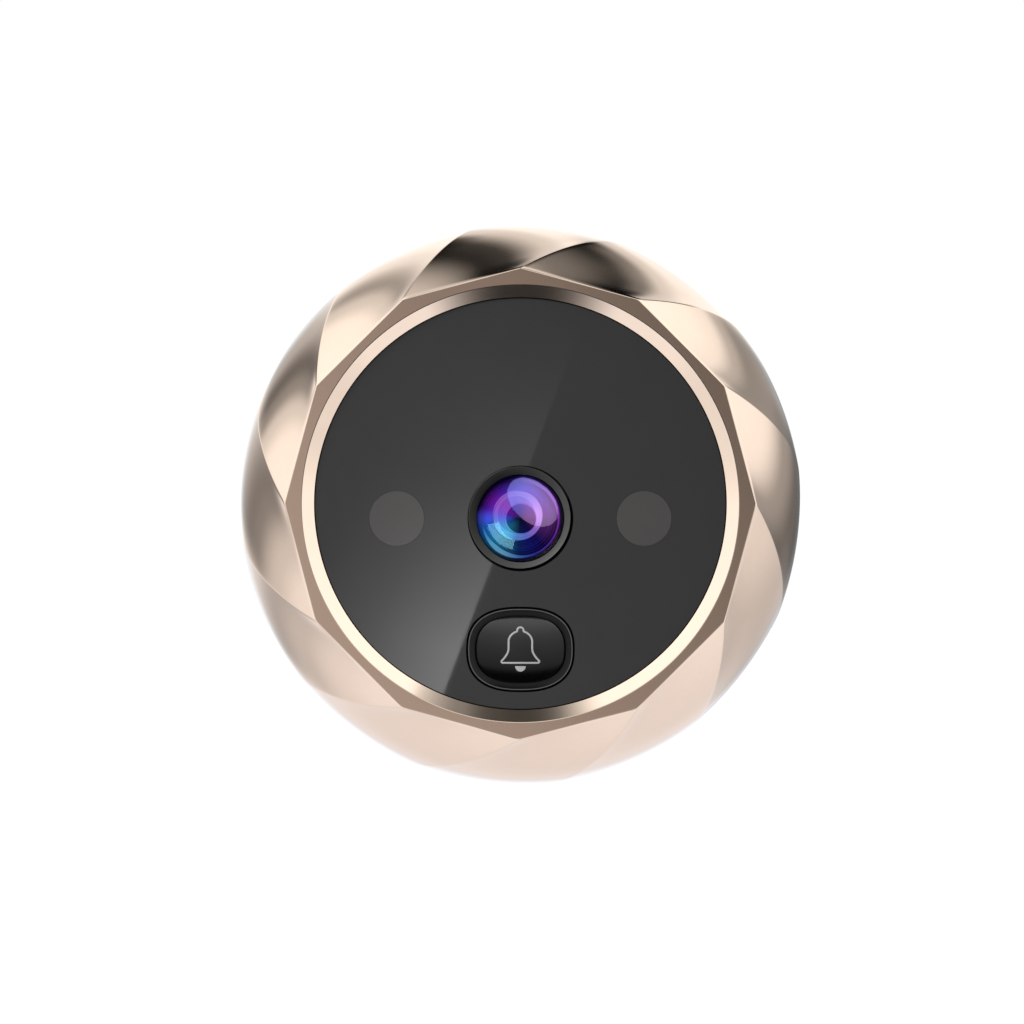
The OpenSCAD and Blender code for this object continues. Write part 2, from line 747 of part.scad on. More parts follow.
module switch_cover() seated() color("#c8c8c6") at_button(switch_top_z) difference() {
    block(switch_w, switch_w, switch_cover_t);
    translate([0, 0, -over]) cylinder(r = plunger_r + run, h = switch_cover_t + 2 * over);
}

module switch_terminals() seated() color("#c9c4b4") for (x = [-1, 1], y = [-1, 1])
    at_button(board_back_z - 0.8) translate([x * terminal_x, y * terminal_y, 0])
        block(0.3, 0.7, board_t + 0.8 + switch_base_h * 0.6);

// Snap dome that the plunger presses flat
module switch_dome() seated() color("#d4d2cc") at_button(dome_base_z) {
    centre_z = dome_rise - dome_ball_r;
    intersection() {
        difference() {
            translate([0, 0, centre_z]) sphere(r = dome_ball_r + dome_t);
            translate([0, 0, centre_z]) sphere(r = dome_ball_r);
        }
        cylinder(r = dome_r, h = dome_rise + over);
    }
}

module switch_plunger() seated() color("#2a2a2e") at_button() {
    translate([0, 0, plunger_z]) cylinder(r = dome_r, h = switch_top_z - run - plunger_z);
    translate([0, 0, plunger_z]) cylinder(r = plunger_r, h = stem_top_z - plunger_z);
}

// Rear cover and door fitting

module rear_cover() seated() color("#242424") translate([0, 0, cover_back_z]) difference() {
    cylinder(r = recess_r - panel_gap, h = cover_t);
    translate([0, 0, -over]) cylinder(r = collar_r + slip, h = cover_t + 2 * over);
    for (a = cover_boss_angles) rotate(a) translate([boss_ring_r, 0, -over]) {
        cylinder(r = pilot_r, h = cover_t + 2 * over);
        cylinder(d = screw_head_d + 2 * slip, h = screw_head_h + over);
    }
    for (a = flange_screw_angles) rotate(a) translate([flange_screw_ring, 0, 0.4])
        cylinder(r = small_screw_r + slip, h = cover_t);
}

module cover_screws() seated() color("#8e9094") for (a = cover_boss_angles)
    on_boss(a, cover_back_z + screw_head_h)
        screw(screw_r, screw_head_d / 2, screw_head_h, cover_t - screw_head_h + screw_len);

module ribbon_slot() translate([0, 0, -stem_len - over]) linear_extrude(stem_len + flange_front_z + 2 * over) {
    end_y = (slot_h - slot_w) / 2;
    translate([-slot_w / 2, -end_y]) square([slot_w, 2 * end_y]);
    for (end = [-1, 1]) translate([0, end * end_y]) circle(d = slot_w);
}

module on_bolts(z) for (side = [-1, 1]) translate([side * bolt_spacing / 2, 0, z]) children();

module mounting_stem() seated() color("#2b2b2b") difference() {
    union() {
        translate([0, 0, -stem_len]) cylinder(r1 = stem_r - stem_chamfer, r2 = stem_r, h = stem_chamfer);
        translate([0, 0, stem_chamfer - stem_len]) cylinder(r = stem_r, h = stem_len - stem_chamfer);
        cylinder(r = collar_r, h = cover_front_z);
        translate([0, 0, cover_front_z]) cylinder(r = flange_r, h = flange_t);
    }
    ribbon_slot();
    on_bolts(-stem_len - over) cylinder(d = insert_d + 2 * slip, h = insert_len + over);
    for (a = flange_screw_angles) rotate(a) translate([flange_screw_ring, 0, cover_front_z]) {
        translate([0, 0, -over]) cylinder(r = small_screw_r + slip, h = flange_t + 2 * over);
        translate([0, 0, flange_t - small_head_h]) cylinder(d = small_head_d + 2 * slip, h = small_head_h + over);
    }
}

module stem_inserts() seated() color("#c9a24a")
    on_bolts(-stem_len) tube(insert_d / 2, bolt_hole_d / 2, insert_len);

module stem_screws() seated() color("#a9acb0") for (a = flange_screw_angles)
    rotate(a) translate([flange_screw_ring, 0, flange_front_z - small_head_h]) mirror([0, 0, 1])
        screw(small_screw_r, small_head_d / 2, small_head_h, flange_screw_len);

module door_gasket() seated() color("#3a3a3a") tube(gasket_r, gasket_hole_d / 2, gasket_t);

housing();
front_panel();
panel_tape();
ir_window_left();
ir_window_right();
lens_bezel();
lens_seal();
lens_front_element();
lens_barrel();
lens_second_element();
aperture_stop();
lens_spacer();
lens_rear_element();
lens_holder();
ir_cut_filter();
image_sensor();
camera_board();
camera_screws();
camera_header();
main_board();
board_screws();
ir_led_left();
ir_led_right();
led_shroud_left();
led_shroud_right();
processor_chip();
board_capacitors();
power_inductor();
ribbon_connector();
button_frame();
button_cap();
bell_inlay();
switch_base();
switch_cover();
switch_terminals();
switch_dome();
switch_plunger();
rear_cover();
cover_screws();
mounting_stem();
stem_inserts();
stem_screws();
door_gasket();
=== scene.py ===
"""Looks of a peephole door camera: twisted rose-gold body, dark gloss panel, coated lens and bell button.

Pieces are drawn in millimetres with the door face at z = 0, the front towards +z and up towards +y, then
seated in the row frame, where the front faces -Y and up is +Z.
"""
from math import atan2, cos, hypot, pi, radians, sin, sqrt, tan

import bmesh
import bpy
from mathutils import Matrix, Vector


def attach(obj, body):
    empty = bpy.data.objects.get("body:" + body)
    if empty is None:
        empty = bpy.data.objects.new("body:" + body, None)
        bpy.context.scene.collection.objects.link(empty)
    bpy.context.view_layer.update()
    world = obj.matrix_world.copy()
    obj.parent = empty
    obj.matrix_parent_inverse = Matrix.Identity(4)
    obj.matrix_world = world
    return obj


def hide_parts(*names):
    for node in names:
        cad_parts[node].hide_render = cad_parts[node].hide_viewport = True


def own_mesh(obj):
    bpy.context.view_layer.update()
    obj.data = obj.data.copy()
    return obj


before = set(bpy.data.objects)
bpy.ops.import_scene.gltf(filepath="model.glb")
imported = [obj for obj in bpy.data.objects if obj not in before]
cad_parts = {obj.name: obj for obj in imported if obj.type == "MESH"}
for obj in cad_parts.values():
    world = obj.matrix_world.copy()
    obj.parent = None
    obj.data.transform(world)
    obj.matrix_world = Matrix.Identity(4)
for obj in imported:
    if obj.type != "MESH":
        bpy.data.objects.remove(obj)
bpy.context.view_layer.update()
scene = bpy.context.scene
ops = bmesh.ops
MM = 0.001
MERGE_GAP = 1e-6
SEAT = Matrix.Rotation(radians(90), 4, "X") @ Matrix.Scale(MM, 4)

# Body
FACETS = 12
BODY_R = 30.95
RIM_R = 25.32
BASE_R = 29.5
DEPTH = 24
BELLY_H = 10
RIDGE_TURN = 24
RIDGE_LEAD = 0.4
FACET_BULGE = 0.9
DOOR_GAP = 0.3
BEVEL_R = 23.46
WINDOW_R = 22.2
LEDGE_R = 20.83
CAVITY_R = 26.19
RECESS_R = 26.99
BEVEL_FOOT_Z = 22.87
LEDGE_Z = 20.3
LEDGE_BACK_Z = 18.5
COVER_FRONT_Z = 3
COVER_BACK_Z = 1
BOSS_RING_R = 23.89
BOSS_R = 2.6
BOSS_BORE_R = 1.05
BOARD_FRONT_Z = 13.4
REAR_CHAMFER = 0.3
RIDGE_ROUND = 0.15

# Panel
PANEL_FRONT_Z = 22.6
PANEL_BACK_Z = 20.6
PANEL_R = WINDOW_R - 0.11
IR_X = 13.31
IR_R = 2.95
SLIP = 0.05

# Camera
LENS_Y = -1.597
VIEW_R = 4.75
BEZEL_R = 5.49
# The ring's hole is wider than the ring, and the ring is drawn off centre in it: the dark gap at the lower
# right is a shadow made by shape, standing in for the ring's cast shadow.
RING_HOLE_R = 5.69
RING_SHIFT = 0.09
GLASS_R = 4.9
HEAD_R = 5.25
BEZEL_FRONT_Z = 22.7
FUNNEL_Z = 21.8
BEZEL_LIP_Z = 21.4
BEZEL_STEP = 0.46
BEZEL_FOOT_W, BEZEL_FOOT_H = 0.85, 0.8
HEAD_TOP_Z = 21.35
HEAD_H = 4.7
GLASS_APEX_Z = 22.91
GLASS_BALL_R = 9
SEAT_Z = 20.25
BARREL_Z = 11.3
BARREL_R = 4
BARREL_LIP = 0.7
RIBS, RIB_R, RIB_PITCH = 9, 4.55, 0.22
ELEMENT_R = 2.9
SECOND_Z = 16.45
SECOND_H = 1.6
SECOND_BALL_R = 6
DISH_INSET, DISH_DEPTH = 0.75, 1.2

# Button
BUTTON_Y = -15.7
CAP_W, CAP_H = 9.72, 7.2
FRAME_W, FRAME_H = 11.6, 9.1
SQUARENESS = 2.5
CAP_APEX_Z = 22.85
CAP_BALL_R = 16.8
FRAME_FRONT_Z = 22.7
FRAME_BACK_Z = 19.8
LIP_H = 0.3
CAP_FLANGE_Z = 19
CAP_FLANGE_W, CAP_FLANGE_H = 1.2, 0.7
CAP_CORNER = 0.06
PRESS_POST_Z = 17.75
PRESS_POST_R = 1.5
RUN = 0.03

# Door fitting
STEM_R = 7.5
STEM_LEN = 24
COLLAR_R = 8.5
FLANGE_R = 12.5
FLANGE_FRONT_Z = 4.6
SLOT_W, SLOT_H = 4.6, 11
BOLT_X = 4.9
INSERT_R = 2
INSERT_LEN = 8
BOLT_HOLE_R = 1.25
GASKET_R = 21.04
GASKET_HOLE_R = 10
COVER_SCREW_R = 1.9
PLATE_EDGE = 0.15
STEM_CHAMFER = 0.6
INSERT_CHAMFER = 0.25


# Making pieces


def placed(name, bm, look):
    """Object of a shape that is in the row frame."""
    mesh = bpy.data.meshes.new(name)
    bm.to_mesh(mesh)
    bm.free()
    mesh.materials.append(look)
    thing = bpy.data.objects.new(name, mesh)
    scene.collection.objects.link(thing)
    return thing


def seat(bm):
    ops.transform(bm, matrix=SEAT, verts=bm.verts)


def finished(name, bm, look, body="unit", stands_for=(), sharp=32, seated=True):
    """Turns a drawn shape into a piece of the object."""
    if seated:
        seat(bm)
    for face in bm.faces:
        face.smooth = True
    for edge in bm.edges:
        edge.smooth = len(edge.link_faces) == 2 and edge.calc_face_angle(0) < radians(sharp)
    piece = placed(name, bm, look)
    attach(piece, body)
    if stands_for:
        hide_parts(*stands_for)
    return piece


def close_up(bm, gap=0.001):
    """Merges seams and poles and turns all faces outwards."""
    ops.remove_doubles(bm, verts=bm.verts, dist=gap)
    ops.dissolve_degenerate(bm, edges=bm.edges, dist=gap / 10)
    ops.recalc_face_normals(bm, faces=bm.faces)


def round_off(bm, edges, width, segments):
    ops.bevel(bm, geom=edges, offset=width, segments=segments, profile=0.5, affect="EDGES", material=-1)


def break_edges(bm, width, segments=2, sharper_than=40):
    """Rounds every edge that is sharper than the angle."""
    round_off(bm, [e for e in bm.edges
                   if len(e.link_faces) == 2 and e.calc_face_angle(0) > radians(sharper_than)], width, segments)


def add_shape(bm, part):
    """Adds another shape to a shape and lets go of it."""
    scrap = bpy.data.meshes.new("scrap")
    part.to_mesh(scrap)
    part.free()
    bm.from_mesh(scrap)
    bpy.data.meshes.remove(scrap)


def new_verts(grown):
    return [g for g in grown if isinstance(g, bmesh.types.BMVert)]


def turned(profile, centre=(0, 0), steps=128, edge=0.0):
    """Ring or knob turned round an axis: its profile of radius and height closes, or ends on the axis."""
    bm = bmesh.new()
    verts = [bm.verts.new((centre[0] + r, centre[1], z)) for r, z in profile]
    for a, b in zip(verts, verts[1:] + verts[:1]):
        on_axis = abs(a.co.x - centre[0]) < 1e-6 and abs(b.co.x - centre[0]) < 1e-6
        if not on_axis:
            bm.edges.new((a, b))
    ops.spin(bm, geom=bm.verts[:] + bm.edges[:], cent=(centre[0], centre[1], 0), axis=(0, 0, 1),
             dvec=(0, 0, 0), angle=2 * pi, steps=steps, use_merge=True)
    close_up(bm)
    if edge:
        break_edges(bm, edge)
    return bm


def lofted(rows, place, segments, cuts=0):
    """Skin through rows of points: place(unit, row) puts a point of the unit outline on a row."""
    bm = bmesh.new()
    unit = bm.verts.layers.float_vector.new("unit")
    row_of = bm.verts.layers.int.new("row")
    ops.create_circle(bm, segments=segments, radius=1)
    if cuts:
        ops.subdivide_edges(bm, edges=bm.edges[:], cuts=cuts)
    for v in bm.verts:
        v[unit] = v.co.copy()
        v.co = place(v[unit], rows[0])
    loop = bm.edges[:]
    for index, row in enumerate(rows[1:], 1):
        grown = ops.extrude_edge_only(bm, edges=loop)["geom"]
        verts = new_verts(grown)
        for v in verts:
            v[row_of] = index
            v.co = place(v[unit], row)
        fresh = set(verts)
        loop = [g for g in grown if isinstance(g, bmesh.types.BMEdge) and set(g.verts) <= fresh]
    return bm, unit, row_of


def squircle_point(unit, width, height):
    """Point of an outline between an ellipse and a rectangle, in the direction of a unit circle's point."""
    power = 2 / SQUARENESS
    x = abs(unit.x) ** power * (1 if unit.x > 0 else -1)
    y = abs(unit.y) ** power * (1 if unit.y > 0 else -1)
    return x * width / 2, y * height / 2


def plate(outlines, low, high, edge):
    """Flat plate between two heights, bounded by the first outline and pierced by the others."""
    bm = bmesh.new()
    for draw in outlines:
        draw(bm)
    ops.triangle_fill(bm, edges=bm.edges[:], use_beauty=True)
    ops.translate(bm, verts=bm.verts, vec=(0, 0, low))
    grown = ops.extrude_face_region(bm, geom=bm.faces[:])["geom"]
    ops.translate(bm, verts=new_verts(grown), vec=(0, 0, high - low))
    ops.recalc_face_normals(bm, faces=bm.faces)
    if edge:
        break_edges(bm, edge, sharper_than=60)
    return bm


def round_outline(radius, x=0.0, y=0.0, segments=128):
    def draw(bm):
        ops.create_circle(bm, segments=segments, radius=radius, matrix=Matrix.Translation((x, y, 0)))
    return draw


def squircle_outline(width, height, y, segments=144):
    def draw(bm):
        for v in ops.create_circle(bm, segments=segments, radius=1)["verts"]:
            px, py = squircle_point(v.co, width, height)
            v.co = (px, y + py, 0)
    return draw


def slot_outline(width, height, segments=48):
    def draw(bm):
        rise = (height - width) / 2
        for v in ops.create_circle(bm, segments=segments, radius=width / 2)["verts"]:
            v.co.y += rise if v.co.y > 0 else -rise
    return draw


# Finishes


def finish(name, colour, **sockets):
    """Plain shader of a finish; patterns are added to it after."""
    look = bpy.data.materials.new(name)
    look.use_nodes = True
    shader = look.node_tree.nodes["Principled BSDF"]
    shader.inputs["Base Color"].default_value = (*colour, 1)
    for socket, value in sockets.items():
        shader.inputs[socket.replace("_", " ").title().replace("Ior", "IOR")].default_value = value
    return look


def shader_of(look):
    return look.node_tree.nodes["Principled BSDF"]


def add_node(look, kind, inputs=(), **settings):
    """New node with its settings and inputs; an input that is a socket is linked."""
    tree = look.node_tree
    node = tree.nodes.new("ShaderNode" + kind)
    for key, value in settings.items():
        setattr(node, key, value)
    for key, value in dict(inputs).items():
        if isinstance(value, bpy.types.NodeSocket):
            tree.links.new(value, node.inputs[key])
        else:
            node.inputs[key].default_value = value
    return node


def join(look, output, socket):
    look.node_tree.links.new(output, shader_of(look).inputs[socket])


def place_of(look, centre=(0, 0, 0), stretch=(1, 1, 1)):
    """Object coordinates, moved so that the centre is at zero, then stretched."""
    coordinates = add_node(look, "TexCoord").outputs["Object"]
    moved = add_node(look, "VectorMath", {0: coordinates, 1: centre}, operation="SUBTRACT")
    return add_node(look, "Mapping", {"Vector": moved.outputs[0], "Scale": stretch}).outputs[0]


def maths(look, operation, *values, **settings):
    return add_node(look, "Math", dict(enumerate(values)), operation=operation, **settings).outputs[0]


def parts_of(look, vector):
    return add_node(look, "SeparateXYZ", {0: vector}).outputs


def grey(*stops):
    """Stops of a ramp that has no hue."""
    return [(place, (level,) * 3) for place, level in stops]


def noise(look, place, scale, detail=4.0):
    return add_node(look, "TexNoise",
                    {"Vector": place, "Scale": scale, "Detail": detail, "Roughness": 0.6}).outputs["Fac"]


def ranged(look, value, low, high, start=0.3, end=0.7):
    return add_node(look, "MapRange", {
        "Value": value, "From Min": start, "From Max": end, "To Min": low, "To Max": high}).outputs["Result"]


def ramp(look, value, stops, mode="LINEAR"):
    node = add_node(look, "ValToRGB", {"Fac": value})
    node.color_ramp.interpolation = mode
    elements = node.color_ramp.elements
    while len(elements) < len(stops):
        elements.new(0.5)
    for element, (position, colour) in zip(elements, stops):
        element.position = position
        element.color = (*colour, 1)
    return node.outputs["Color"]


def blended(look, share, low, high, mode="MIX"):
    node = add_node(look, "Mix", data_type="RGBA", blend_type=mode)
    for socket, value in ((node.inputs[0], share), (node.inputs[6], low), (node.inputs[7], high)):
        if isinstance(value, bpy.types.NodeSocket):
            look.node_tree.links.new(value, socket)
        else:
            socket.default_value = value if isinstance(value, float) else (*value, 1)
    return node.outputs[2]


def bumped(look, height, distance, strength=0.3):
    node = add_node(look, "Bump", {"Height": height, "Distance": distance, "Strength": strength})
    join(look, node.outputs["Normal"], "Normal")


def mottled(look, colour, darker, scale, rough, bump=0.0, strength=0.3):
    """Uneven colour and gloss with a fine grain."""
    place = place_of(look)
    coarse, fine = noise(look, place, scale / 6, 3), noise(look, place, scale, 5)
    join(look, blended(look, ranged(look, coarse, 0, 1), colour, darker), "Base Color")
    join(look, ranged(look, fine, *rough), "Roughness")
    if bump:
        bumped(look, fine, bump, strength)
    return look


def grained(name, colour, darker, scale, rough, bump=0.0, strength=0.3, **sockets):
    """Finish that is mottled all over."""
    return mottled(finish(name, colour, **sockets), colour, darker, scale, rough, bump, strength)


def frame_black():
    """Satin moulding with a painted highlight: its crest is coloured lighter."""
    colour, crest = (0.008, 0.008, 0.0082), (0.18, 0.18, 0.18)
    look = finish("satin_black_frame", colour, specular_ior_level=0.15)
    place = place_of(look, (0, -FRAME_FRONT_Z * MM, 0), stretch=(1 / MM,) * 3)
    grain = noise(look, place, 2.6, 5)
    _, depth, _ = parts_of(look, place)
    # Painted highlight: the lip's crest, within 0.03 mm of the front, takes the lighter colour.
    painted_crest_highlight = ranged(look, depth, 1, 0, 0.006, 0.03)
    join(look, blended(look, painted_crest_highlight, colour, crest), "Base Color")
    join(look, ranged(look, grain, 0.26, 0.36), "Roughness")
    bumped(look, grain, 0.000004, 0.1)
    return look


def foam_black():
    """Closed-cell foam: small round pores."""
    look = finish("foam_black", (0.03, 0.03, 0.031))
    place = place_of(look)
    pores = add_node(look, "TexVoronoi", {"Vector": place, "Scale": 2400.0}).outputs["Distance"]
    join(look, blended(look, ranged(look, pores, 0, 1, 0.1, 0.6), (0.012, 0.012, 0.012),
                       (0.045, 0.045, 0.046)), "Base Color")
    join(look, ranged(look, noise(look, place, 1800), 0.8, 0.95), "Roughness")
    bumped(look, pores, 0.0001, 0.6)
    return look


def turned_metal(name, colour, darker, rough, scale=5200):
    """Metal with fine rings from turning, drawn round each piece's own length."""
    look = finish(name, colour, metallic=1)
    place = place_of(look, stretch=(0.25, 1, 0.25))
    lines = noise(look, place, scale, 3)
    join(look, blended(look, ranged(look, lines, 0, 1), colour, darker), "Base Color")
    join(look, ranged(look, lines, *rough), "Roughness")
    bumped(look, lines, 0.00001, 0.2)
    return look


def solder_mask():
    """Green board with copper tracks under its lacquer."""
    look = finish("solder_mask", (0.01, 0.12, 0.05))
    place = place_of(look, stretch=(1, 0, 1))
    tracks = add_node(look, "TexBrick", {
        "Vector": place, "Scale": 420.0, "Mortar Size": 0.06}).outputs["Fac"]
    join(look, blended(look, tracks, (0.008, 0.1, 0.04), (0.02, 0.2, 0.07)), "Base Color")
    join(look, ranged(look, noise(look, place, 2000), 0.28, 0.42), "Roughness")
    bumped(look, tracks, 0.00003, 0.5)
    return look


def bare(name):
    """Material with no shader yet."""
    look = bpy.data.materials.new(name)
    look.use_nodes = True
    nodes = look.node_tree.nodes
    nodes.remove(nodes["Principled BSDF"])
    return look


def surface(look, shader):
    tree = look.node_tree
    tree.links.new(shader.outputs[0], tree.nodes["Material Output"].inputs["Surface"])


def clear_glass(name, tint, gloss, bending):
    """Coated glass: clear when seen square on, reflecting towards its edge."""
    look = bare(name)
    rings = noise(look, place_of(look, (0, 0, LENS_Y * MM)), 900, 2)
    clear = add_node(look, "BsdfTransparent", {"Color": (*tint, 1)})
    shine = add_node(look, "BsdfAnisotropic", {
        "Color": (*gloss, 1), "Roughness": ranged(look, rings, 0.0, 0.003)})
    edge = add_node(look, "Fresnel", {"IOR": bending})
    surface(look, add_node(look, "MixShader",
                           {0: edge.outputs[0], 1: clear.outputs[0], 2: shine.outputs[0]}))
    return look


def painted_coating_reflections():
    """Coloured reflections of the coated inner glass, painted in its base colour: hues run round the axis, with
    a pale crescent ring.
    """
    look = finish("painted_coating_reflections", (0.1, 0.05, 0.4), specular_ior_level=0.1)
    place = place_of(look, (0, 0, LENS_Y * MM), stretch=(1 / MM, 0, 1 / MM))
    x, _, z = parts_of(look, place)
    share = ranged(look, maths(look, "ARCTAN2", z, x), 0, 1, -pi, pi)
    hues = ramp(look, share, [
        (0.0, (0.07, 0.1, 0.82)), (0.04, (0.012, 0.13, 0.5)), (0.11, (0.015, 0.2, 0.36)),
        (0.18, (0.012, 0.1, 0.2)), (0.24, (0.004, 0.018, 0.09)), (0.3, (0.006, 0.007, 0.12)),
        (0.36, (0.006, 0.004, 0.075)), (0.42, (0.05, 0.012, 0.1)), (0.47, (0.085, 0.02, 0.13)),
        (0.54, (0.18, 0.045, 0.3)), (0.64, (0.15, 0.06, 0.46)), (0.76, (0.08, 0.045, 0.5)),
        (0.84, (0.09, 0.018, 0.42)), (0.91, (0.17, 0.012, 0.36)), (0.955, (0.11, 0.02, 0.48)),
        (1.0, (0.07, 0.1, 0.82))])
    ring_hues = ramp(look, share, [
        (0.0, (0.2, 0.25, 0.95)), (0.06, (0.15, 0.54, 0.98)), (0.13, (0.13, 0.62, 0.95)),
        (0.22, (0.1, 0.26, 0.66)), (0.3, (0.13, 0.16, 0.6)), (0.4, (0.3, 0.14, 0.6)),
        (0.48, (0.62, 0.32, 0.85)), (0.56, (0.66, 0.36, 0.92)), (0.7, (0.34, 0.24, 0.82)),
        (0.8, (0.28, 0.2, 0.76)), (0.89, (0.44, 0.13, 0.72)), (0.95, (0.36, 0.15, 0.82)),
        (1.0, (0.2, 0.25, 0.95))])

    def distance(centre):
        apart = add_node(look, "VectorMath", {0: place, 1: centre}, operation="DISTANCE")
        return apart.outputs["Value"]

    radius = distance((0, 0, 0))
    out = ranged(look, distance((-0.22, 0, 0.02)), 0, 1, 0, 5)
    # Painted light and shade: the hues are brightest part way out from a point near the middle, darken towards
    # that point and the rim, and at some angles the falloff is moved in or out.
    painted_rim_shade = ramp(look, share, grey((0.0, -0.03), (0.03, 0), (0.74, 0), (0.8, 0.085), (0.95, 0.085),
                                      (0.985, -0.02), (1.0, -0.03)))
    light = ramp(look, maths(look, "ADD", out, painted_rim_shade), grey(
        (0.0, 0.02), (0.06, 0.12), (0.14, 0.36), (0.22, 0.55), (0.34, 0.7), (0.5, 1.0), (0.6, 1.25),
        (0.68, 1.2), (0.78, 0.74), (0.86, 0.42), (0.91, 0.2), (0.94, 0.03)))
    lit = blended(look, 1.0, hues, light, "MULTIPLY")

    def inside(centre, reach, soft=0.04):
        """1 inside a circle of the coating, 0 outside it."""
        return ranged(look, distance(centre), 1, 0, reach - soft, reach + soft)

    def without(whole, part):
        return maths(look, "SUBTRACT", whole, part, use_clamp=True)

    # Painted reflection: a pale crescent ring between off-centre circles takes the ring hues, and a dimmer band
    # inside it takes them in part.
    outer = inside((-0.29, 0, 0.31), 2.7)
    middle = inside((-0.42, 0, 0.41), 2.0)
    inner = inside((0.09, 0, -0.02), 1.62)
    bright = without(without(outer, middle), inner)
    dim = without(middle, inner)
    dim_hues = blended(look, 0.6, lit, ring_hues)
    coated = blended(look, bright, blended(look, dim, lit, dim_hues), ring_hues)
    dark = (0.0, 0.0, 0.0)
    # Painted reflection: thin coloured arcs near the rim, at edge_ring_r, whose width changes round the axis.
    edge_hues = ramp(look, share, [
        (0.02, dark), (0.06, (0.05, 0.18, 0.36)), (0.12, (0.12, 0.36, 0.46)), (0.18, (0.15, 0.36, 0.5)),
        (0.25, (0.05, 0.14, 0.4)), (0.31, (0.03, 0.04, 0.3)), (0.4, (0.1, 0.02, 0.36)),
        (0.5, (0.26, 0.03, 0.45)), (0.6, (0.3, 0.1, 0.5)), (0.68, (0.14, 0.07, 0.35)), (0.76, dark)])
    width = ramp(look, share, grey((0.03, 0.03), (0.14, 0.26), (0.2, 0.22), (0.28, 0.09), (0.5, 0.08),
                                   (0.57, 0.17), (0.7, 0.17)))
    edge_ring_r = 4.14
    off = maths(look, "ABSOLUTE", maths(look, "SUBTRACT", radius, edge_ring_r))
    near = maths(look, "SUBTRACT", width, off)
    coated = blended(look, ranged(look, near, 0, 1, -0.04, 0.04), coated,
                     blended(look, 1.0, coated, edge_hues, "ADD"))
    groove_turns = 22.0
    grooves = maths(look, "SINE", maths(look, "MULTIPLY", radius, groove_turns))
    join(look, blended(look, ranged(look, grooves, 0.0, 0.2, -1, 1), coated, (0.0, 0.0, 0.02)),
         "Base Color")
    join(look, ranged(look, grooves, 0.2, 0.32, -1, 1), "Roughness")
    return look


# Colour, darker patches, scale of the grain, range of roughness, depth and strength of the bump
ROSE_GOLD = grained("rose_gold_satin", (0.86, 0.695, 0.565), (0.85, 0.682, 0.552), 5200, (0.07, 0.12), 0.00001,
                    0.06, metallic=1)
PANEL = grained("panel_acrylic", (0.037, 0.038, 0.039), (0.035, 0.036, 0.037), 900, (0.015, 0.025))
INFRARED = grained("infrared_acrylic", (0.074, 0.073, 0.072), (0.07, 0.069, 0.068), 1400, (0.05, 0.08))
GLOSS_BLACK = grained("gloss_black_plastic", (0.0025, 0.0025, 0.0026), (0.002, 0.002, 0.002), 2600, (0.1, 0.15),
                      0.000004, 0.1, specular_ior_level=0.1)
FRAME_BLACK = frame_black()
BEZEL_BLACK = grained("satin_black_ring", (0.0155, 0.0155, 0.0148), (0.014, 0.014, 0.0134), 3000, (0.34, 0.46),
                      0.000006, 0.12, specular_ior_level=0.1)
SIGN_INK = grained("sign_ink", (0.5, 0.5, 0.5), (0.44, 0.44, 0.44), 5000, (0.4, 0.52), 0.000004, 0.1)
MOULDED = grained("moulded_black", (0.022, 0.022, 0.023), (0.03, 0.03, 0.03), 3600, (0.42, 0.6), 0.00003, 0.35)
FOAM = foam_black()
STEEL = turned_metal("zinc_plated_steel", (0.62, 0.63, 0.65), (0.5, 0.51, 0.53), (0.22, 0.4))
BRASS = turned_metal("turned_brass", (0.8, 0.58, 0.24), (0.66, 0.45, 0.16), (0.18, 0.34))
TINNED = turned_metal("tinned_metal", (0.72, 0.7, 0.66), (0.6, 0.58, 0.54), (0.3, 0.45))
BOARD = solder_mask()
COATING_REFLECTIONS = painted_coating_reflections()
FRONT_GLASS = clear_glass("front_glass", (0.98, 0.97, 1.0), (1, 1, 1), 1.5)
UNREFLECTING_GLASS = clear_glass("unreflecting_glass", (0.98, 0.98, 0.98), (1, 1, 1), 1.0)
INNER_GLASS = clear_glass("inner_glass", (0.9, 0.93, 1.0), (0.8, 0.85, 1), 1.5)


# Body


def ridge_radius(z):
    if z >= BELLY_H:
        return RIM_R + (BODY_R - RIM_R) * sin(pi / 2 * (DEPTH - z) / (DEPTH - BELLY_H))
    return BODY_R - (BODY_R - BASE_R) * (1 - cos(pi / 2 * (BELLY_H - z) / BELLY_H))


def ridge_turn(z):
    """Turn of the ridges, clockwise towards the door and quickest at the front rim."""
    share = (DEPTH - z) / (DEPTH - BELLY_H)
    made = share + RIDGE_LEAD * share * (1 - share) if share < 1 else 1 + (1 - RIDGE_LEAD) * (share - 1)
    return radians(-RIDGE_TURN) * made


def facet_share(unit):
    """How far along its facet a point of the unit polygon lies, from 0 to 1."""
    step = 2 * pi / FACETS
    along = (atan2(unit.y, unit.x) - pi / 2) % step - step / 2
    return 0.5 + tan(along) / (2 * tan(step / 2))


def on_twisted_row(unit, row):
    """A row is a kind, a radius and a height: ridged rows have bulged sides, round ones are circles."""
    kind, radius, z = row
    if kind == "round":
        flat = unit.xy.normalized() * radius
        return Vector((*flat, z))
    share = facet_share(unit)
    rise = FACET_BULGE * sin(pi / 2 * min(1, (DEPTH - z) / (DEPTH - BELLY_H)))
    flat = unit.xy * radius + unit.xy.normalized() * rise * 4 * share * (1 - share)
    return Matrix.Rotation(ridge_turn(z), 3, "Z") @ Vector((*flat, z))


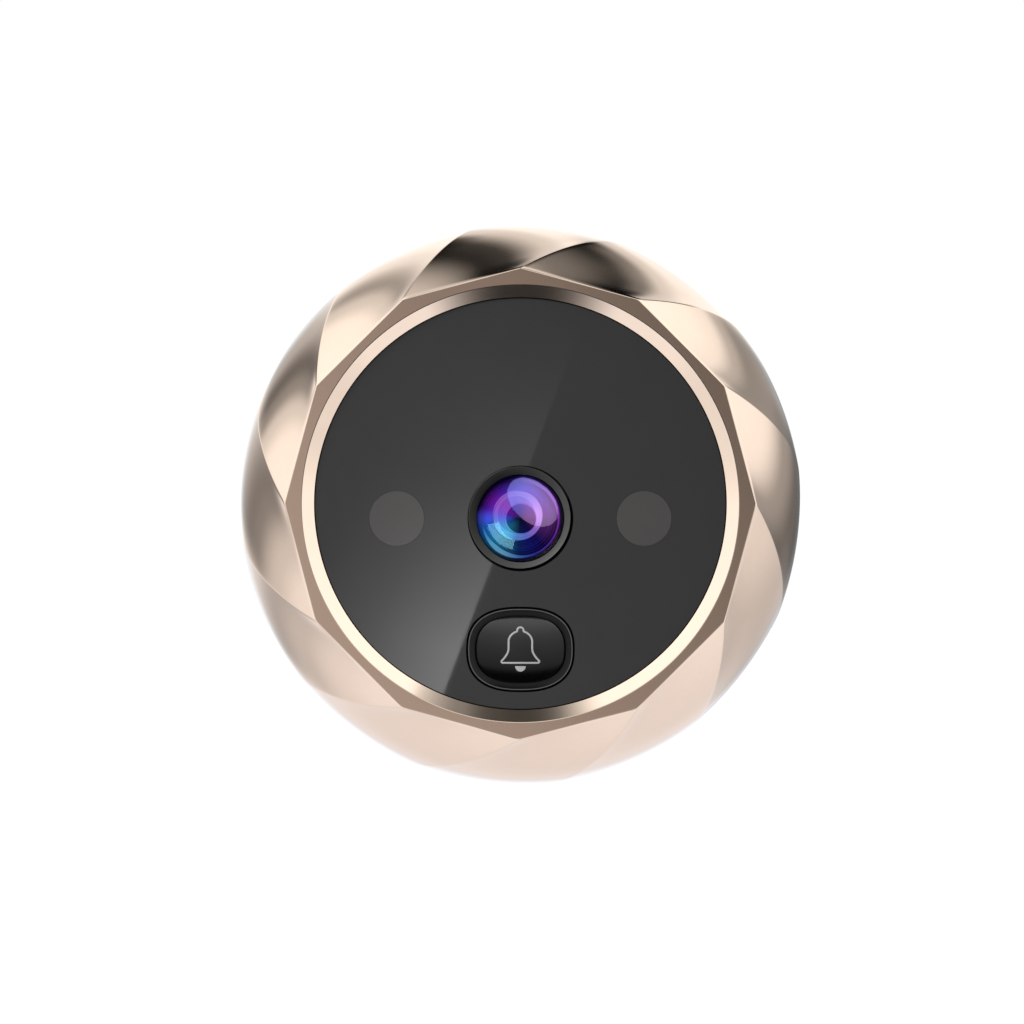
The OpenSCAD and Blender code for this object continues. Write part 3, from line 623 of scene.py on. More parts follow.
def make_housing():
    front_rows, rear_rows, first = 44, 22, DEPTH - 0.1
    heights = [first - (first - BELLY_H) * i / front_rows for i in range(front_rows + 1)]
    heights += [BELLY_H - (BELLY_H - DOOR_GAP - REAR_CHAMFER) * i / rear_rows for i in range(1, rear_rows + 1)]
    rim_round = [(-0.08, 0), (-0.01, 0.025)]
    outer = [("ridged", RIM_R + aside, DEPTH - down) for aside, down in rim_round]
    outer += [("ridged", ridge_radius(z), z) for z in heights]
    rear = [("ridged", BASE_R - REAR_CHAMFER, DOOR_GAP), ("round", RECESS_R + REAR_CHAMFER, DOOR_GAP),
            ("round", RECESS_R, DOOR_GAP + REAR_CHAMFER)]
    inner = [("round", r, z) for r, z in (
        (RECESS_R, COVER_FRONT_Z), (CAVITY_R, COVER_FRONT_Z), (CAVITY_R, LEDGE_BACK_Z), (LEDGE_R, LEDGE_BACK_Z),
        (LEDGE_R, LEDGE_Z), (WINDOW_R, LEDGE_Z), (WINDOW_R, BEVEL_FOOT_Z),
        (BEVEL_R, DEPTH - 0.025), (BEVEL_R + 0.08, DEPTH))]
    rows = outer + rear + inner + outer[:1]
    bm, unit, row_of = lofted(rows, on_twisted_row, FACETS, cuts=19)
    ops.remove_doubles(bm, verts=bm.verts, dist=0.0005)
    ops.recalc_face_normals(bm, faces=bm.faces)
    last = len(outer) - 1

    def on_ridge(v):
        return abs(facet_share(v[unit]) % 1) < 1e-3 or facet_share(v[unit]) > 0.999

    ridges = [e for e in bm.edges
              if all(on_ridge(v) and v[row_of] <= last for v in e.verts)
              and abs(e.verts[0][row_of] - e.verts[1][row_of]) == 1]
    round_off(bm, ridges, RIDGE_ROUND, 3)
    for i in range(6):
        low = COVER_FRONT_Z + 0.1 if i % 2 == 0 else BOARD_FRONT_Z
        angle = radians(30 + 60 * i)
        boss = [(BOSS_BORE_R, low), (BOSS_R, low), (BOSS_R, LEDGE_BACK_Z), (BOSS_BORE_R, LEDGE_BACK_Z)]
        add_shape(bm, turned(boss, (BOSS_RING_R * cos(angle), BOSS_RING_R * sin(angle)), 32))
    return finished("twisted_housing", bm, ROSE_GOLD, stands_for=["housing"], sharp=15)


# Panel


def make_panel():
    holes = [round_outline(RING_HOLE_R, 0, LENS_Y, 160),
             squircle_outline(FRAME_W + 2 * SLIP, FRAME_H + 2 * SLIP, BUTTON_Y)]
    holes += [round_outline(IR_R + 0.02, side * IR_X, LENS_Y, 96) for side in (-1, 1)]
    bm = plate([round_outline(PANEL_R, segments=256)] + holes, PANEL_BACK_Z, PANEL_FRONT_Z, 0)
    front = [finished("acrylic_panel", bm, PANEL, stands_for=["front_panel"])]
    for side, word in ((-1, "left"), (1, "right")):
        bm = turned([(0, PANEL_BACK_Z), (IR_R, PANEL_BACK_Z), (IR_R, PANEL_FRONT_Z), (0, PANEL_FRONT_Z)],
                    (side * IR_X, LENS_Y), 96)
        front.append(finished(f"infrared_window_{word}", bm, INFRARED, stands_for=[f"ir_window_{word}"]))
    return front


# Camera


def arc(radius, centre_z, start_r, end_r, steps=20):
    """Points of a ball's cap as radius and height, from one radius to another."""
    points = [start_r + (end_r - start_r) * i / steps for i in range(steps + 1)]
    return [(r, centre_z + sqrt(radius ** 2 - r ** 2)) for r in points]


def make_lens():
    axis = (0, LENS_Y)
    head_room = HEAD_R + SLIP + RING_SHIFT * sqrt(2)
    foot_r, foot_z = BEZEL_R + BEZEL_FOOT_W, PANEL_BACK_Z - BEZEL_FOOT_H
    bezel = turned([
        (VIEW_R, FUNNEL_Z), (VIEW_R, FUNNEL_Z + BEZEL_STEP - 0.06), (VIEW_R + 0.05, FUNNEL_Z + BEZEL_STEP),
        (BEZEL_R - 0.03, BEZEL_FRONT_Z), (BEZEL_R, BEZEL_FRONT_Z - 0.03), (BEZEL_R, PANEL_BACK_Z),
        (foot_r, PANEL_BACK_Z), (foot_r, foot_z), (head_room, foot_z), (head_room, BEZEL_LIP_Z),
        (VIEW_R, BEZEL_LIP_Z)], axis, 160)
    # Shadow made by shape: the ring's face is drawn up and to the left, so that a dark gap at the lower right
    # stands in for the shadow the ring casts.
    for v in bezel.verts:
        share = (hypot(v.co.x, v.co.y - LENS_Y) - VIEW_R) / (BEZEL_R - VIEW_R)
        v.co += min(max(share, 0), 1) * Vector((-RING_SHIFT, RING_SHIFT, 0))
    ring = finished("lens_ring", bezel, BEZEL_BLACK, stands_for=["lens_bezel"], sharp=40)

    dish_r, dish_apex = GLASS_R - DISH_INSET, GLASS_APEX_Z - DISH_DEPTH
    dish_sag = dish_apex - SEAT_Z
    dish_ball = (dish_r ** 2 + dish_sag ** 2) / (2 * dish_sag)
    edge = VIEW_R - 0.01
    outside = arc(GLASS_BALL_R, GLASS_APEX_Z - GLASS_BALL_R, 0, edge, 28)
    inside = arc(dish_ball, dish_apex - dish_ball, dish_r, 0, 24)
    shoulder = [(edge, BEZEL_LIP_Z - SLIP), (GLASS_R, BEZEL_LIP_Z - SLIP), (GLASS_R, SEAT_Z)]
    glass = turned(outside + shoulder + inside, axis, 128)
    for face in glass.faces:
        middle = face.calc_center_median()
        in_dish = hypot(middle.x, middle.y - LENS_Y) < dish_r and face.normal.z < 0
        if in_dish or middle.z < BEZEL_LIP_Z - 2 * SLIP:
            face.material_index = 1
    glass = finished("front_glass_dome", glass, FRONT_GLASS, stands_for=["lens_front_element"])
    glass.data.materials.append(UNREFLECTING_GLASS)
    glass.visible_diffuse = False

    lip_r, bore_r, neck_z = ELEMENT_R - BARREL_LIP, ELEMENT_R + SLIP, HEAD_TOP_Z - HEAD_H
    profile = [(lip_r, BARREL_Z), (BARREL_R, BARREL_Z), (BARREL_R, neck_z), (HEAD_R, neck_z),
               (HEAD_R, HEAD_TOP_Z), (GLASS_R + SLIP, HEAD_TOP_Z), (GLASS_R + SLIP, SEAT_Z)]
    for i in range(RIBS):
        r = RIB_R - (RIB_R - ELEMENT_R - SLIP) * i / (RIBS - 1)
        z = SEAT_Z - RIB_PITCH * i
        profile += [(r + 0.04, z), (r, z - 0.05)]
    profile += [(bore_r, BARREL_Z + 1), (lip_r, BARREL_Z + 1)]
    barrel = turned(profile, axis, 128)
    for face in barrel.faces:
        middle = face.calc_center_median()
        if hypot(middle.x, middle.y - LENS_Y) < GLASS_R - SLIP and middle.z > SECOND_Z:
            face.material_index = 1
    barrel = finished("lens_barrel_ribbed", barrel, MOULDED, stands_for=["lens_barrel"])
    barrel.data.materials.append(COATING_REFLECTIONS)

    rim = bore_r - 0.002
    ball_z = SECOND_Z + SECOND_H - sqrt(SECOND_BALL_R ** 2 - ELEMENT_R ** 2)
    second = turned(arc(SECOND_BALL_R, ball_z, 0, rim) + [(rim, SECOND_Z), (0, SECOND_Z)], axis, 96)
    second = finished("second_glass_coated", second, COATING_REFLECTIONS, stands_for=["lens_second_element"])
    return ring, glass, [barrel, second]


# Button


def on_frame_row(unit, row):
    width, height, z = row
    x, y = squircle_point(unit, width, height)
    return Vector((x, BUTTON_Y + y, z))


def crown_height(x, y):
    """Height of the button cap's crown at a point measured from the button's middle."""
    return CAP_APEX_Z - CAP_BALL_R + sqrt(CAP_BALL_R ** 2 - x ** 2 - y ** 2)


def on_cap_row(unit, row):
    """Rows with no height lie on the crown, let down by the row's drop."""
    width, height, z, drop = row
    x, y = squircle_point(unit, width, height)
    return Vector((x, BUTTON_Y + y, crown_height(x, y) - drop if z is None else z))


def make_button():
    opening = (CAP_W + 2 * RUN, CAP_H + 2 * RUN)
    back = (FRAME_W, FRAME_H, FRAME_BACK_Z)
    # How far each row of the rounded lip stands in from the outline and back from the front
    lip = ((0, 0.5), (0.34, 0.06), (0.4, 0.01), (0.48, 0), (0.56, 0.01), (0.66, 0.09))
    frame_rows = [back] + [(FRAME_W - inset, FRAME_H - inset, FRAME_FRONT_Z - down) for inset, down in lip]
    frame_rows += [(*opening, FRAME_FRONT_Z - LIP_H), (*opening, FRAME_BACK_Z), back]
    bm, _, _ = lofted(frame_rows, on_frame_row, 144)
    close_up(bm)
    surround = finished("button_surround", bm, FRAME_BLACK, stands_for=["button_frame"],
                        sharp=50)

    flange, flange_top = (CAP_W + CAP_FLANGE_W, CAP_H + CAP_FLANGE_W), CAP_FLANGE_Z + CAP_FLANGE_H
    cap_rows = [(*flange, CAP_FLANGE_Z, 0), (*flange, flange_top, 0), (CAP_W, CAP_H, flange_top, 0)]
    corner = CAP_CORNER
    for i in range(7):
        lean = pi / 2 * i / 6
        inset, drop = corner * (1 - cos(lean)), corner * (1 - sin(lean))
        cap_rows.append((CAP_W - 2 * inset, CAP_H - 2 * inset, None, drop))
    for share in (0.93, 0.85, 0.75, 0.62, 0.48, 0.35, 0.2, 0.1, 0.0):
        cap_rows.append(((CAP_W - 2 * corner) * share, (CAP_H - 2 * corner) * share, None, 0))
    bm, _, _ = lofted(cap_rows, on_cap_row, 144)
    under = [e for e in bm.edges if e.is_boundary and all(abs(v.co.z - CAP_FLANGE_Z) < 1e-4 for v in e.verts)]
    ops.edgeloop_fill(bm, edges=under)
    close_up(bm, 0.002)
    cap = finished("button_crown", bm, GLOSS_BLACK, "button", ["button_cap"], sharp=50)
    post = turned([(0, PRESS_POST_Z), (PRESS_POST_R, PRESS_POST_Z), (PRESS_POST_R, CAP_FLANGE_Z),
                   (0, CAP_FLANGE_Z)], (0, BUTTON_Y), 32)
    finished("button_post", post, GLOSS_BLACK, "button")
    return cap, surround


def make_bell_sign():
    """Bell in outline, laid in the cap's crown, with its clapper below."""
    line, foot, clapper_top, clapper_r = 0.1, -1.44, -1.8, 0.57
    # Anchors of the right half from the foot up: point, handle before it and handle after it
    right = [
        ((1.86, foot), (0.6, foot), (1.98, foot)), ((1.98, -1.19), (2.12, -1.32), (1.72, -0.93)),
        ((1.27, 0.12), (1.27, -0.42), (1.27, 0.4)), ((1.27, 0.84), (1.27, 0.6), (1.27, 1.42)),
        ((0.4, 1.93), (0.82, 1.78), (0.36, 1.95)), ((0.345, 2.03), (0.35, 1.98), (0.34, 2.23)),
        ((0.0, 2.39), (0.2, 2.39), (-0.2, 2.39))]
    flip = lambda point: (-point[0], point[1])
    left = [(flip(at), flip(after), flip(before)) for at, before, after in reversed(right[:-1])]
    curve = bpy.data.curves.new("bell_line", "CURVE")
    curve.dimensions, curve.bevel_depth, curve.bevel_resolution, curve.resolution_u = "3D", line, 3, 10
    spline = curve.splines.new("BEZIER")
    spline.bezier_points.add(len(right + left) - 1)
    for point, (at, before, after) in zip(spline.bezier_points, right + left):
        point.co, point.handle_left, point.handle_right = (*at, 0), (*before, 0), (*after, 0)
    spline.use_cyclic_u = True
    draft = bpy.data.objects.new("bell_line", curve)
    scene.collection.objects.link(draft)
    bm = bmesh.new()
    bm.from_mesh(draft.to_mesh())
    draft.to_mesh_clear()
    bpy.data.objects.remove(draft)
    disc = ops.create_circle(bm, segments=48, radius=clapper_r, cap_ends=True,
                             matrix=Matrix.Translation((0, clapper_top, line)))["verts"]
    geom = [*disc, *{e for v in disc for e in v.link_edges}, *{f for v in disc for f in v.link_faces}]
    ops.bisect_plane(bm, geom=geom, plane_co=(0, clapper_top, 0), plane_no=(0, 1, 0), clear_outer=True)
    half_disc = [f for f in bm.faces if len(f.verts) > 8]
    grown = ops.extrude_face_region(bm, geom=half_disc)["geom"]
    ops.translate(bm, verts=new_verts(grown), vec=(0, 0, -2 * line))
    ops.recalc_face_normals(bm, faces=bm.faces)
    for v in bm.verts:
        v.co = (v.co.x, BUTTON_Y + v.co.y, crown_height(v.co.x, v.co.y) + 0.3 * v.co.z)
    finished("bell_sign", bm, SIGN_INK, "button", ["bell_inlay"], sharp=60)


# Door side


def make_door_side():
    screws = [(BOSS_RING_R * cos(radians(a)), BOSS_RING_R * sin(radians(a))) for a in (30, 150, 270)]
    holes = [round_outline(COLLAR_R + SLIP)] + [round_outline(COVER_SCREW_R, x, y, 48) for x, y in screws]
    cover = plate([round_outline(RECESS_R - 0.1, segments=192)] + holes, COVER_BACK_Z, COVER_FRONT_Z,
                  PLATE_EDGE)
    finished("rear_cover_plate", cover, MOULDED, stands_for=["rear_cover"])

    gasket = turned([(GASKET_HOLE_R, 0), (GASKET_R, 0), (GASKET_R, COVER_BACK_Z),
                     (GASKET_HOLE_R, COVER_BACK_Z)], steps=160, edge=0.2)
    finished("foam_ring", gasket, FOAM, stands_for=["door_gasket"])

    slot = slot_outline(SLOT_W, SLOT_H)
    bores = [round_outline(INSERT_R + SLIP, side * BOLT_X, 0, 64) for side in (-1, 1)]
    parts = [plate([round_outline(STEM_R), slot] + bores, -STEM_LEN, INSERT_LEN - STEM_LEN, 0),
             plate([round_outline(STEM_R), slot], INSERT_LEN - STEM_LEN, 0, 0),
             plate([round_outline(COLLAR_R), slot], 0, COVER_FRONT_Z, PLATE_EDGE),
             plate([round_outline(FLANGE_R), slot], COVER_FRONT_Z, FLANGE_FRONT_Z, PLATE_EDGE)]
    stem = parts[0]
    for part in parts[1:]:
        add_shape(stem, part)
    end = [e for e in stem.edges if all(abs(v.co.z + STEM_LEN) < 1e-4 for v in e.verts)
           and all(abs(hypot(v.co.x, v.co.y) - STEM_R) < 1e-3 for v in e.verts)]
    round_off(stem, end, STEM_CHAMFER, 3)
    finished("door_stem_tube", stem, MOULDED, stands_for=["mounting_stem"])

    for side, word in ((-1, "left"), (1, "right")):
        low, high = -STEM_LEN, INSERT_LEN - STEM_LEN
        insert = turned([(BOLT_HOLE_R, low + INSERT_CHAMFER), (BOLT_HOLE_R + INSERT_CHAMFER, low),
                         (INSERT_R, low), (INSERT_R, high), (BOLT_HOLE_R, high)], (side * BOLT_X, 0), 64)
        replaced = ["stem_inserts"] if side < 0 else ()
        finished(f"threaded_insert_{word}", insert, BRASS, stands_for=replaced)


# Inner pieces


def dress(look, *nodes):
    """Gives a finish to nodes that keep their solids."""
    for node in nodes:
        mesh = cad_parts[node].data
        mesh.materials.clear()
        mesh.materials.append(look)


def dress_inner_pieces():
    dress(grained("matt_black_plastic", (0.02, 0.02, 0.021), (0.028, 0.028, 0.029), 3000, (0.5, 0.7),
                  0.00001, 0.2),
          "aperture_stop", "lens_spacer", "lens_holder", "led_shroud_left", "led_shroud_right", "switch_base",
          "switch_plunger")
    dress(grained("socket_plastic", (0.72, 0.66, 0.52), (0.66, 0.6, 0.46), 2500, (0.4, 0.55), 0.00001, 0.15),
          "camera_header", "ribbon_connector")
    dress(grained("chip_black", (0.016, 0.016, 0.018), (0.024, 0.024, 0.026), 4000, (0.4, 0.6), 0.00001, 0.25),
          "image_sensor", "processor_chip")
    dress(grained("ceramic_tan", (0.42, 0.3, 0.18), (0.34, 0.24, 0.14), 3000, (0.4, 0.6)), "board_capacitors")
    dress(grained("ferrite_grey", (0.05, 0.05, 0.055), (0.07, 0.07, 0.07), 3000, (0.6, 0.8), 0.00002, 0.3),
          "power_inductor")
    dress(grained("led_epoxy", (0.1, 0.07, 0.13), (0.08, 0.055, 0.11), 900, (0.06, 0.14)),
          "ir_led_left", "ir_led_right")
    dress(grained("tape_black", (0.01, 0.01, 0.01), (0.016, 0.016, 0.016), 2000, (0.7, 0.9)), "panel_tape")
    dress(INNER_GLASS, "lens_rear_element", "ir_cut_filter")
    dress(STEEL, "camera_screws", "board_screws", "cover_screws", "stem_screws", "switch_cover")
    dress(TINNED, "switch_terminals")
    dress(BOARD, "camera_board", "main_board")
    dress(FOAM, "lens_seal")


def make_snap_dome():
    """Steel dome of the switch, on a mesh of its own; the real dome flattens under the plunger as the button
    goes in.
    """
    bm = bmesh.new()
    bm.from_mesh(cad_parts["switch_dome"].data)
    ops.remove_doubles(bm, verts=bm.verts, dist=MERGE_GAP)
    dome = finished("snap_dome", bm, STEEL, stands_for=["switch_dome"], seated=False)
    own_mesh(dome)


# Studio

CAMERA_Z = 522.6
PIXELS_PER_RAD = 4646
PHOTO_SIZE = 1024
SENSOR = 36
FLOOR_HEIGHT = -0.064
KEY_PLACE = (-330, 330, 400)
BODY_PIXEL = (520.4, 503.6)
PIXELS_PER_MM = PIXELS_PER_RAD / (CAMERA_Z - PANEL_FRONT_Z)
VIEWPOINT = Vector(((PHOTO_SIZE / 2 - BODY_PIXEL[0]) / PIXELS_PER_MM,
                    (BODY_PIXEL[1] - PHOTO_SIZE / 2) / PIXELS_PER_MM, CAMERA_Z))


def make_camera():
    camera = bpy.data.cameras.new("photo_camera")
    camera.sensor_width = SENSOR
    camera.lens = SENSOR * PIXELS_PER_RAD / PHOTO_SIZE
    camera.clip_start = 0.01
    viewer = bpy.data.objects.new("photo_camera", camera)
    viewer.location = SEAT @ VIEWPOINT
    viewer.rotation_euler = (radians(90), 0, 0)
    scene.collection.objects.link(viewer)
    scene.camera = viewer


def studio_world():
    """White studio. Matt surfaces get plain light; gloss sees bright sides, a grey front and dark flags."""
    world = bpy.data.worlds.new("studio")
    scene.world = world
    world.use_nodes = True
    background = world.node_tree.nodes["Background"]
    brightest = 1.25
    background.inputs["Strength"].default_value = brightest
    direction = add_node(world, "TexCoord").outputs["Generated"]
    x, y, z = parts_of(world, direction)
    around = add_node(world, "CombineXYZ", {"X": x, "Z": z}).outputs[0]
    unit = add_node(world, "VectorMath", {0: around}, operation="NORMALIZE").outputs[0]
    side, _, up = parts_of(world, unit)
    height = ranged(world, up, 0, 1, -1, 1)

    def of(operation, *values):
        return maths(world, operation, *values)

    def graded(value, *stops):
        return ramp(world, value, grey(*stops), "EASE")

    def flag(angle, core, fringe, *depths, leaning=True):
        """What a dark flag leaves: it hangs at an angle round the view and is as deep as its stops say."""
        right, high = (leant_side, leant_up) if leaning else (side, up)
        turn = (cos(radians(angle)), sin(radians(angle)))
        near = of("ADD", of("MULTIPLY", right, turn[0]), of("MULTIPLY", high, turn[1]))
        beside = of("SUBTRACT", of("MULTIPLY", high, turn[0]), of("MULTIPLY", right, turn[1]))
        across = graded(near, (cos(radians(fringe)), 0), (cos(radians(core)), 1))
        reach = of("SUBTRACT", away, of("MULTIPLY", beside, flag_tilt)) if leaning else away
        return of("SUBTRACT", 1.0, of("MULTIPLY", across, graded(reach, *depths)))

    # 0 is towards the viewer, 1 straight behind the object
    away = ranged(world, of("ARCCOSINE", of("MULTIPLY", y, -1.0)), 0, 1, 0, pi)
    # Flags lean round the view as they go back, because the facets twist
    lean, lean_from, flag_tilt = radians(65), 0.6, 0.28
    leant = of("MULTIPLY", of("SUBTRACT", away, lean_from), lean)
    leant_cos, leant_sin = of("COSINE", leant), of("SINE", leant)
    leant_side = of("SUBTRACT", of("MULTIPLY", side, leant_cos), of("MULTIPLY", up, leant_sin))
    leant_up = of("ADD", of("MULTIPLY", side, leant_sin), of("MULTIPLY", up, leant_cos))
    slant = of("ADD", of("MULTIPLY", x, -0.87), of("MULTIPLY", z, -0.5))
    middle = ramp(world, ranged(world, slant, 0, 1, -0.12, 0.12),
                  [(0.0, (0.07, 0.062, 0.059)), (1.0, (0.46, 0.408, 0.388))], "EASE")
    upright = graded(ranged(world, z, 0, 1, -0.5, 0.5), (0.3, 0.01), (0.62, 0.3), (0.9, 0.6))
    front = blended(world, graded(away, (0.045, 0), (0.11, 1)), middle, upright)
    front_zone = graded(away, (0.16, 1), (0.32, 0))
    bevel_flags = [flag(*stops, leaning=False) for stops in (
        (87.5, 0.5, 26, (0.3, 0), (0.36, 0.8), (0.43, 0.95), (0.47, 0.93), (0.53, 0)),
        (269.5, 0.5, 28, (0.38, 0), (0.42, 0.965), (0.475, 0.965), (0.505, 0)),
        (202, 4, 24, (0.38, 0), (0.42, 0.15), (0.48, 0.15), (0.52, 0)),
        (336, 4, 22, (0.38, 0), (0.42, 0.16), (0.48, 0.16), (0.52, 0)))]
    facet_flags = [flag(*stops) for stops in (
        (103, 4, 18, (0.49, 0), (0.55, 0.43), (0.64, 0.98), (0.68, 0.96), (0.76, 0.3), (0.81, 0)),
        (127, 4, 21, (0.6, 0), (0.64, 0.32), (0.68, 0.66), (0.76, 0.14), (0.81, 0)),
        (160, 4, 14, (0.6, 0), (0.64, 0.28), (0.68, 0.72), (0.72, 0.85), (0.8, 0.56), (0.9, 0.36),
         (1, 0.1)),
        (188, 4, 16, (0.49, 0), (0.55, 0.1), (0.6, 0.32), (0.68, 0.73), (0.72, 0.77), (0.95, 0.17)),
        (217, 4, 17, (0.55, 0), (0.6, 0.08), (0.68, 0.33), (0.76, 0.49), (0.88, 0.16)),
        (347, 4, 20, (0.49, 0), (0.55, 0.17), (0.6, 0.2), (0.72, 0.36), (0.88, 0.4), (0.95, 0.27)),
        (16, 8, 24, (0.64, 0), (0.72, 0.64), (0.81, 0.85), (0.88, 0.87), (0.95, 0.8), (1, 0.62)),
        (40, 4, 17, (0.6, 0), (0.64, 0.07), (0.68, 0.52), (0.72, 0.72), (0.86, 0.66), (0.92, 0.74),
         (1, 0.62)),
        (77, 4, 19, (0.49, 0), (0.54, 0.18), (0.6, 0.83), (0.68, 0.97), (0.72, 0.82), (0.76, 0.32),
         (0.81, 0.04)))]
    ridge_flags = [flag(*stops) for stops in (
        (83.5, 4, 10, (0.58, 0.2), (0.62, 1), (0.74, 1), (0.78, 0)),
        (110, 2, 7, (0.64, 0), (0.68, 0.85), (0.74, 0.85), (0.78, 0)),
        (57, 3, 8, (0.6, 0.5), (0.64, 0.9), (0.7, 0.8), (0.74, 0)))]
    flags = bevel_flags + facet_flags + ridge_flags
    shade = flags[0]
    for part in flags[1:]:
        shade = of("MULTIPLY", shade, part)
    sky = ramp(world, height, [(0.1, (0.75, 0.745, 0.78)), (0.5, (0.88, 0.87, 0.88)),
                               (0.8, (0.98, 0.98, 0.98))])
    behind = ramp(world, away, [
        (0.4, (1.18, 1.2, 1.2)), (0.47, (1.12, 1.13, 1.13)), (0.56, (1.1, 1.1, 1.1)), (0.64, (1, 1, 1)),
        (0.72, (0.975, 0.975, 0.975)), (0.79, (1.02, 1.03, 1.05)), (0.83, (0.98, 1.03, 1.06)),
        (0.87, (1.09, 1.17, 1.23)), (0.92, (1.12, 1.22, 1.32))])
    lit_sky = blended(world, 1.0, blended(world, 1.0, sky, behind, "MULTIPLY"), shade, "MULTIPLY")
    studio = blended(world, front_zone, lit_sky, front)
    path = add_node(world, "LightPath").outputs
    seen = of("MAXIMUM", path["Is Camera Ray"], path["Is Transmission Ray"])
    shone = blended(world, path["Is Glossy Ray"], (0.45, 0.45, 0.45), studio)
    world.node_tree.links.new(blended(world, seen, shone, (1 / brightest,) * 3), background.inputs["Color"])


def shine_on(light, pieces, only=True):
    """Limits a light to these pieces, or keeps it off them."""
    lit = bpy.data.collections.new(light.name + "_pieces")
    for piece in pieces:
        lit.objects.link(piece)
    if not only:
        for item in lit.collection_objects:
            item.light_linking.link_state = "EXCLUDE"
    light.light_linking.receiver_collection = lit


def area_lamp(name, place, aim, size, power):
    lamp = bpy.data.lights.new(name, "AREA")
    lamp.shape, lamp.size, lamp.size_y = "RECTANGLE", size[0] * MM, size[1] * MM
    lamp.energy = power
    holder = bpy.data.objects.new(name, lamp)
    holder.location = SEAT @ Vector(place)
    holder.rotation_euler = (SEAT @ Vector(aim) - holder.location).to_track_quat("-Z", "Y").to_euler()
    scene.collection.objects.link(holder)
    return holder


def show_in_gloss_only(thing):
    thing.visible_camera = thing.visible_diffuse = thing.visible_shadow = thing.visible_transmission = False


def light_card(name, bm, colour, strength, pieces):
    """Glowing card that shows only as a reflection in these pieces, and is clear to all others."""
    seat(bm)
    look = bare(name)
    glow = add_node(look, "Emission", {"Color": (*colour, 1), "Strength": strength})
    clear = add_node(look, "BsdfTransparent")
    surface(look, add_node(look, "AddShader", {0: glow.outputs[0], 1: clear.outputs[0]}))
    card = placed(name, bm, look)
    show_in_gloss_only(card)
    shine_on(card, pieces)
    return look, glow


def sheet(layer):
    """Square sheet from 0 to 1 each way, which keeps those places in a layer."""
    bm = bmesh.new()
    ops.create_grid(bm, x_segments=24, y_segments=24, size=0.5, matrix=Matrix.Translation((0.5, 0.5, 0)))
    uv = bm.loops.layers.uv.new(layer)
    for face in bm.faces:
        for loop in face.loops:
            loop[uv].uv = loop.vert.co.xy
    return bm


def seen_in_panel(x, y):
    """Point of the sheen card that the camera sees reflected at a point of the panel."""
    share = 0.555
    spot = Vector((x, y, PANEL_FRONT_Z))
    ray = spot - VIEWPOINT
    return spot + share * Vector((ray.x, ray.y, -ray.z))


def seen_in_ball(middle, radius, x, y, reach=200):
    """Point of a card that the camera sees reflected at a point of a ball, measured from its middle."""
    spot = middle + Vector((x, y, sqrt(radius ** 2 - x ** 2 - y ** 2)))
    ray = (spot - VIEWPOINT).normalized()
    return spot + reach * ray.reflect((spot - middle).normalized())


def seen_in_glass(x, y):
    return seen_in_ball(Vector((0, LENS_Y, GLASS_APEX_Z - GLASS_BALL_R)), GLASS_BALL_R, x, y, reach=0.4)


def seen_in_cap(x, y):
    return seen_in_ball(Vector((0, BUTTON_Y, CAP_APEX_Z - CAP_BALL_R)), CAP_BALL_R, x, y)


def make_panel_sheen(front):
    """Softbox whose straight edge crosses the panel from top right to bottom left."""
    upper, lower, width = Vector((7.18, 20.8)), Vector((-8.32, -20.6)), 24
    along = upper - lower
    across = Vector((-along.y, along.x)).normalized() * width
    past_ends = 0.1
    bm = sheet("sheen")
    for v in bm.verts:
        spot = lower - past_ends * along + across * v.co.x + along * (1 + 2 * past_ends) * v.co.y
        v.co = seen_in_panel(*spot)
    look, glow = light_card("panel_sheen", bm, (1, 1, 1), 3.3, front)
    place = add_node(look, "UVMap", uv_map="sheen").outputs[0]
    x, y, _ = parts_of(look, place)
    fade = ramp(look, x, grey((0, 1), (0.13, 0.76), (0.28, 0.5), (0.38, 0.33), (0.48, 0.21), (0.7, 0.03),
                              (0.8, 0)))
    rise = ramp(look, y, grey((0.17, 1), (0.32, 0.63), (0.38, 0.5), (0.49, 0.25), (0.6, 0.15), (0.79, 0.03),
                              (0.9, 0)))
    look.node_tree.links.new(blended(look, 1.0, fade, rise, "MULTIPLY"), glow.inputs["Color"])


def make_lens_tent():
    """Small black tent over the lens that only reflections see: it keeps the white studio out of the glass."""
    low, high, flat, wall, cloth = BEZEL_FRONT_Z + 0.02, GLASS_APEX_Z + 0.51, 3.4, BEZEL_R + 0.08, 0.06
    bm = turned([(0, high), (flat, high), (wall, low), (wall + 0.04, low), (flat, high + cloth),
                 (0, high + cloth)], (0, LENS_Y), 96)
    seat(bm)
    tent = placed("lens_tent", bm, finish("tent_black", (0, 0, 0), specular_ior_level=0))
    show_in_gloss_only(tent)


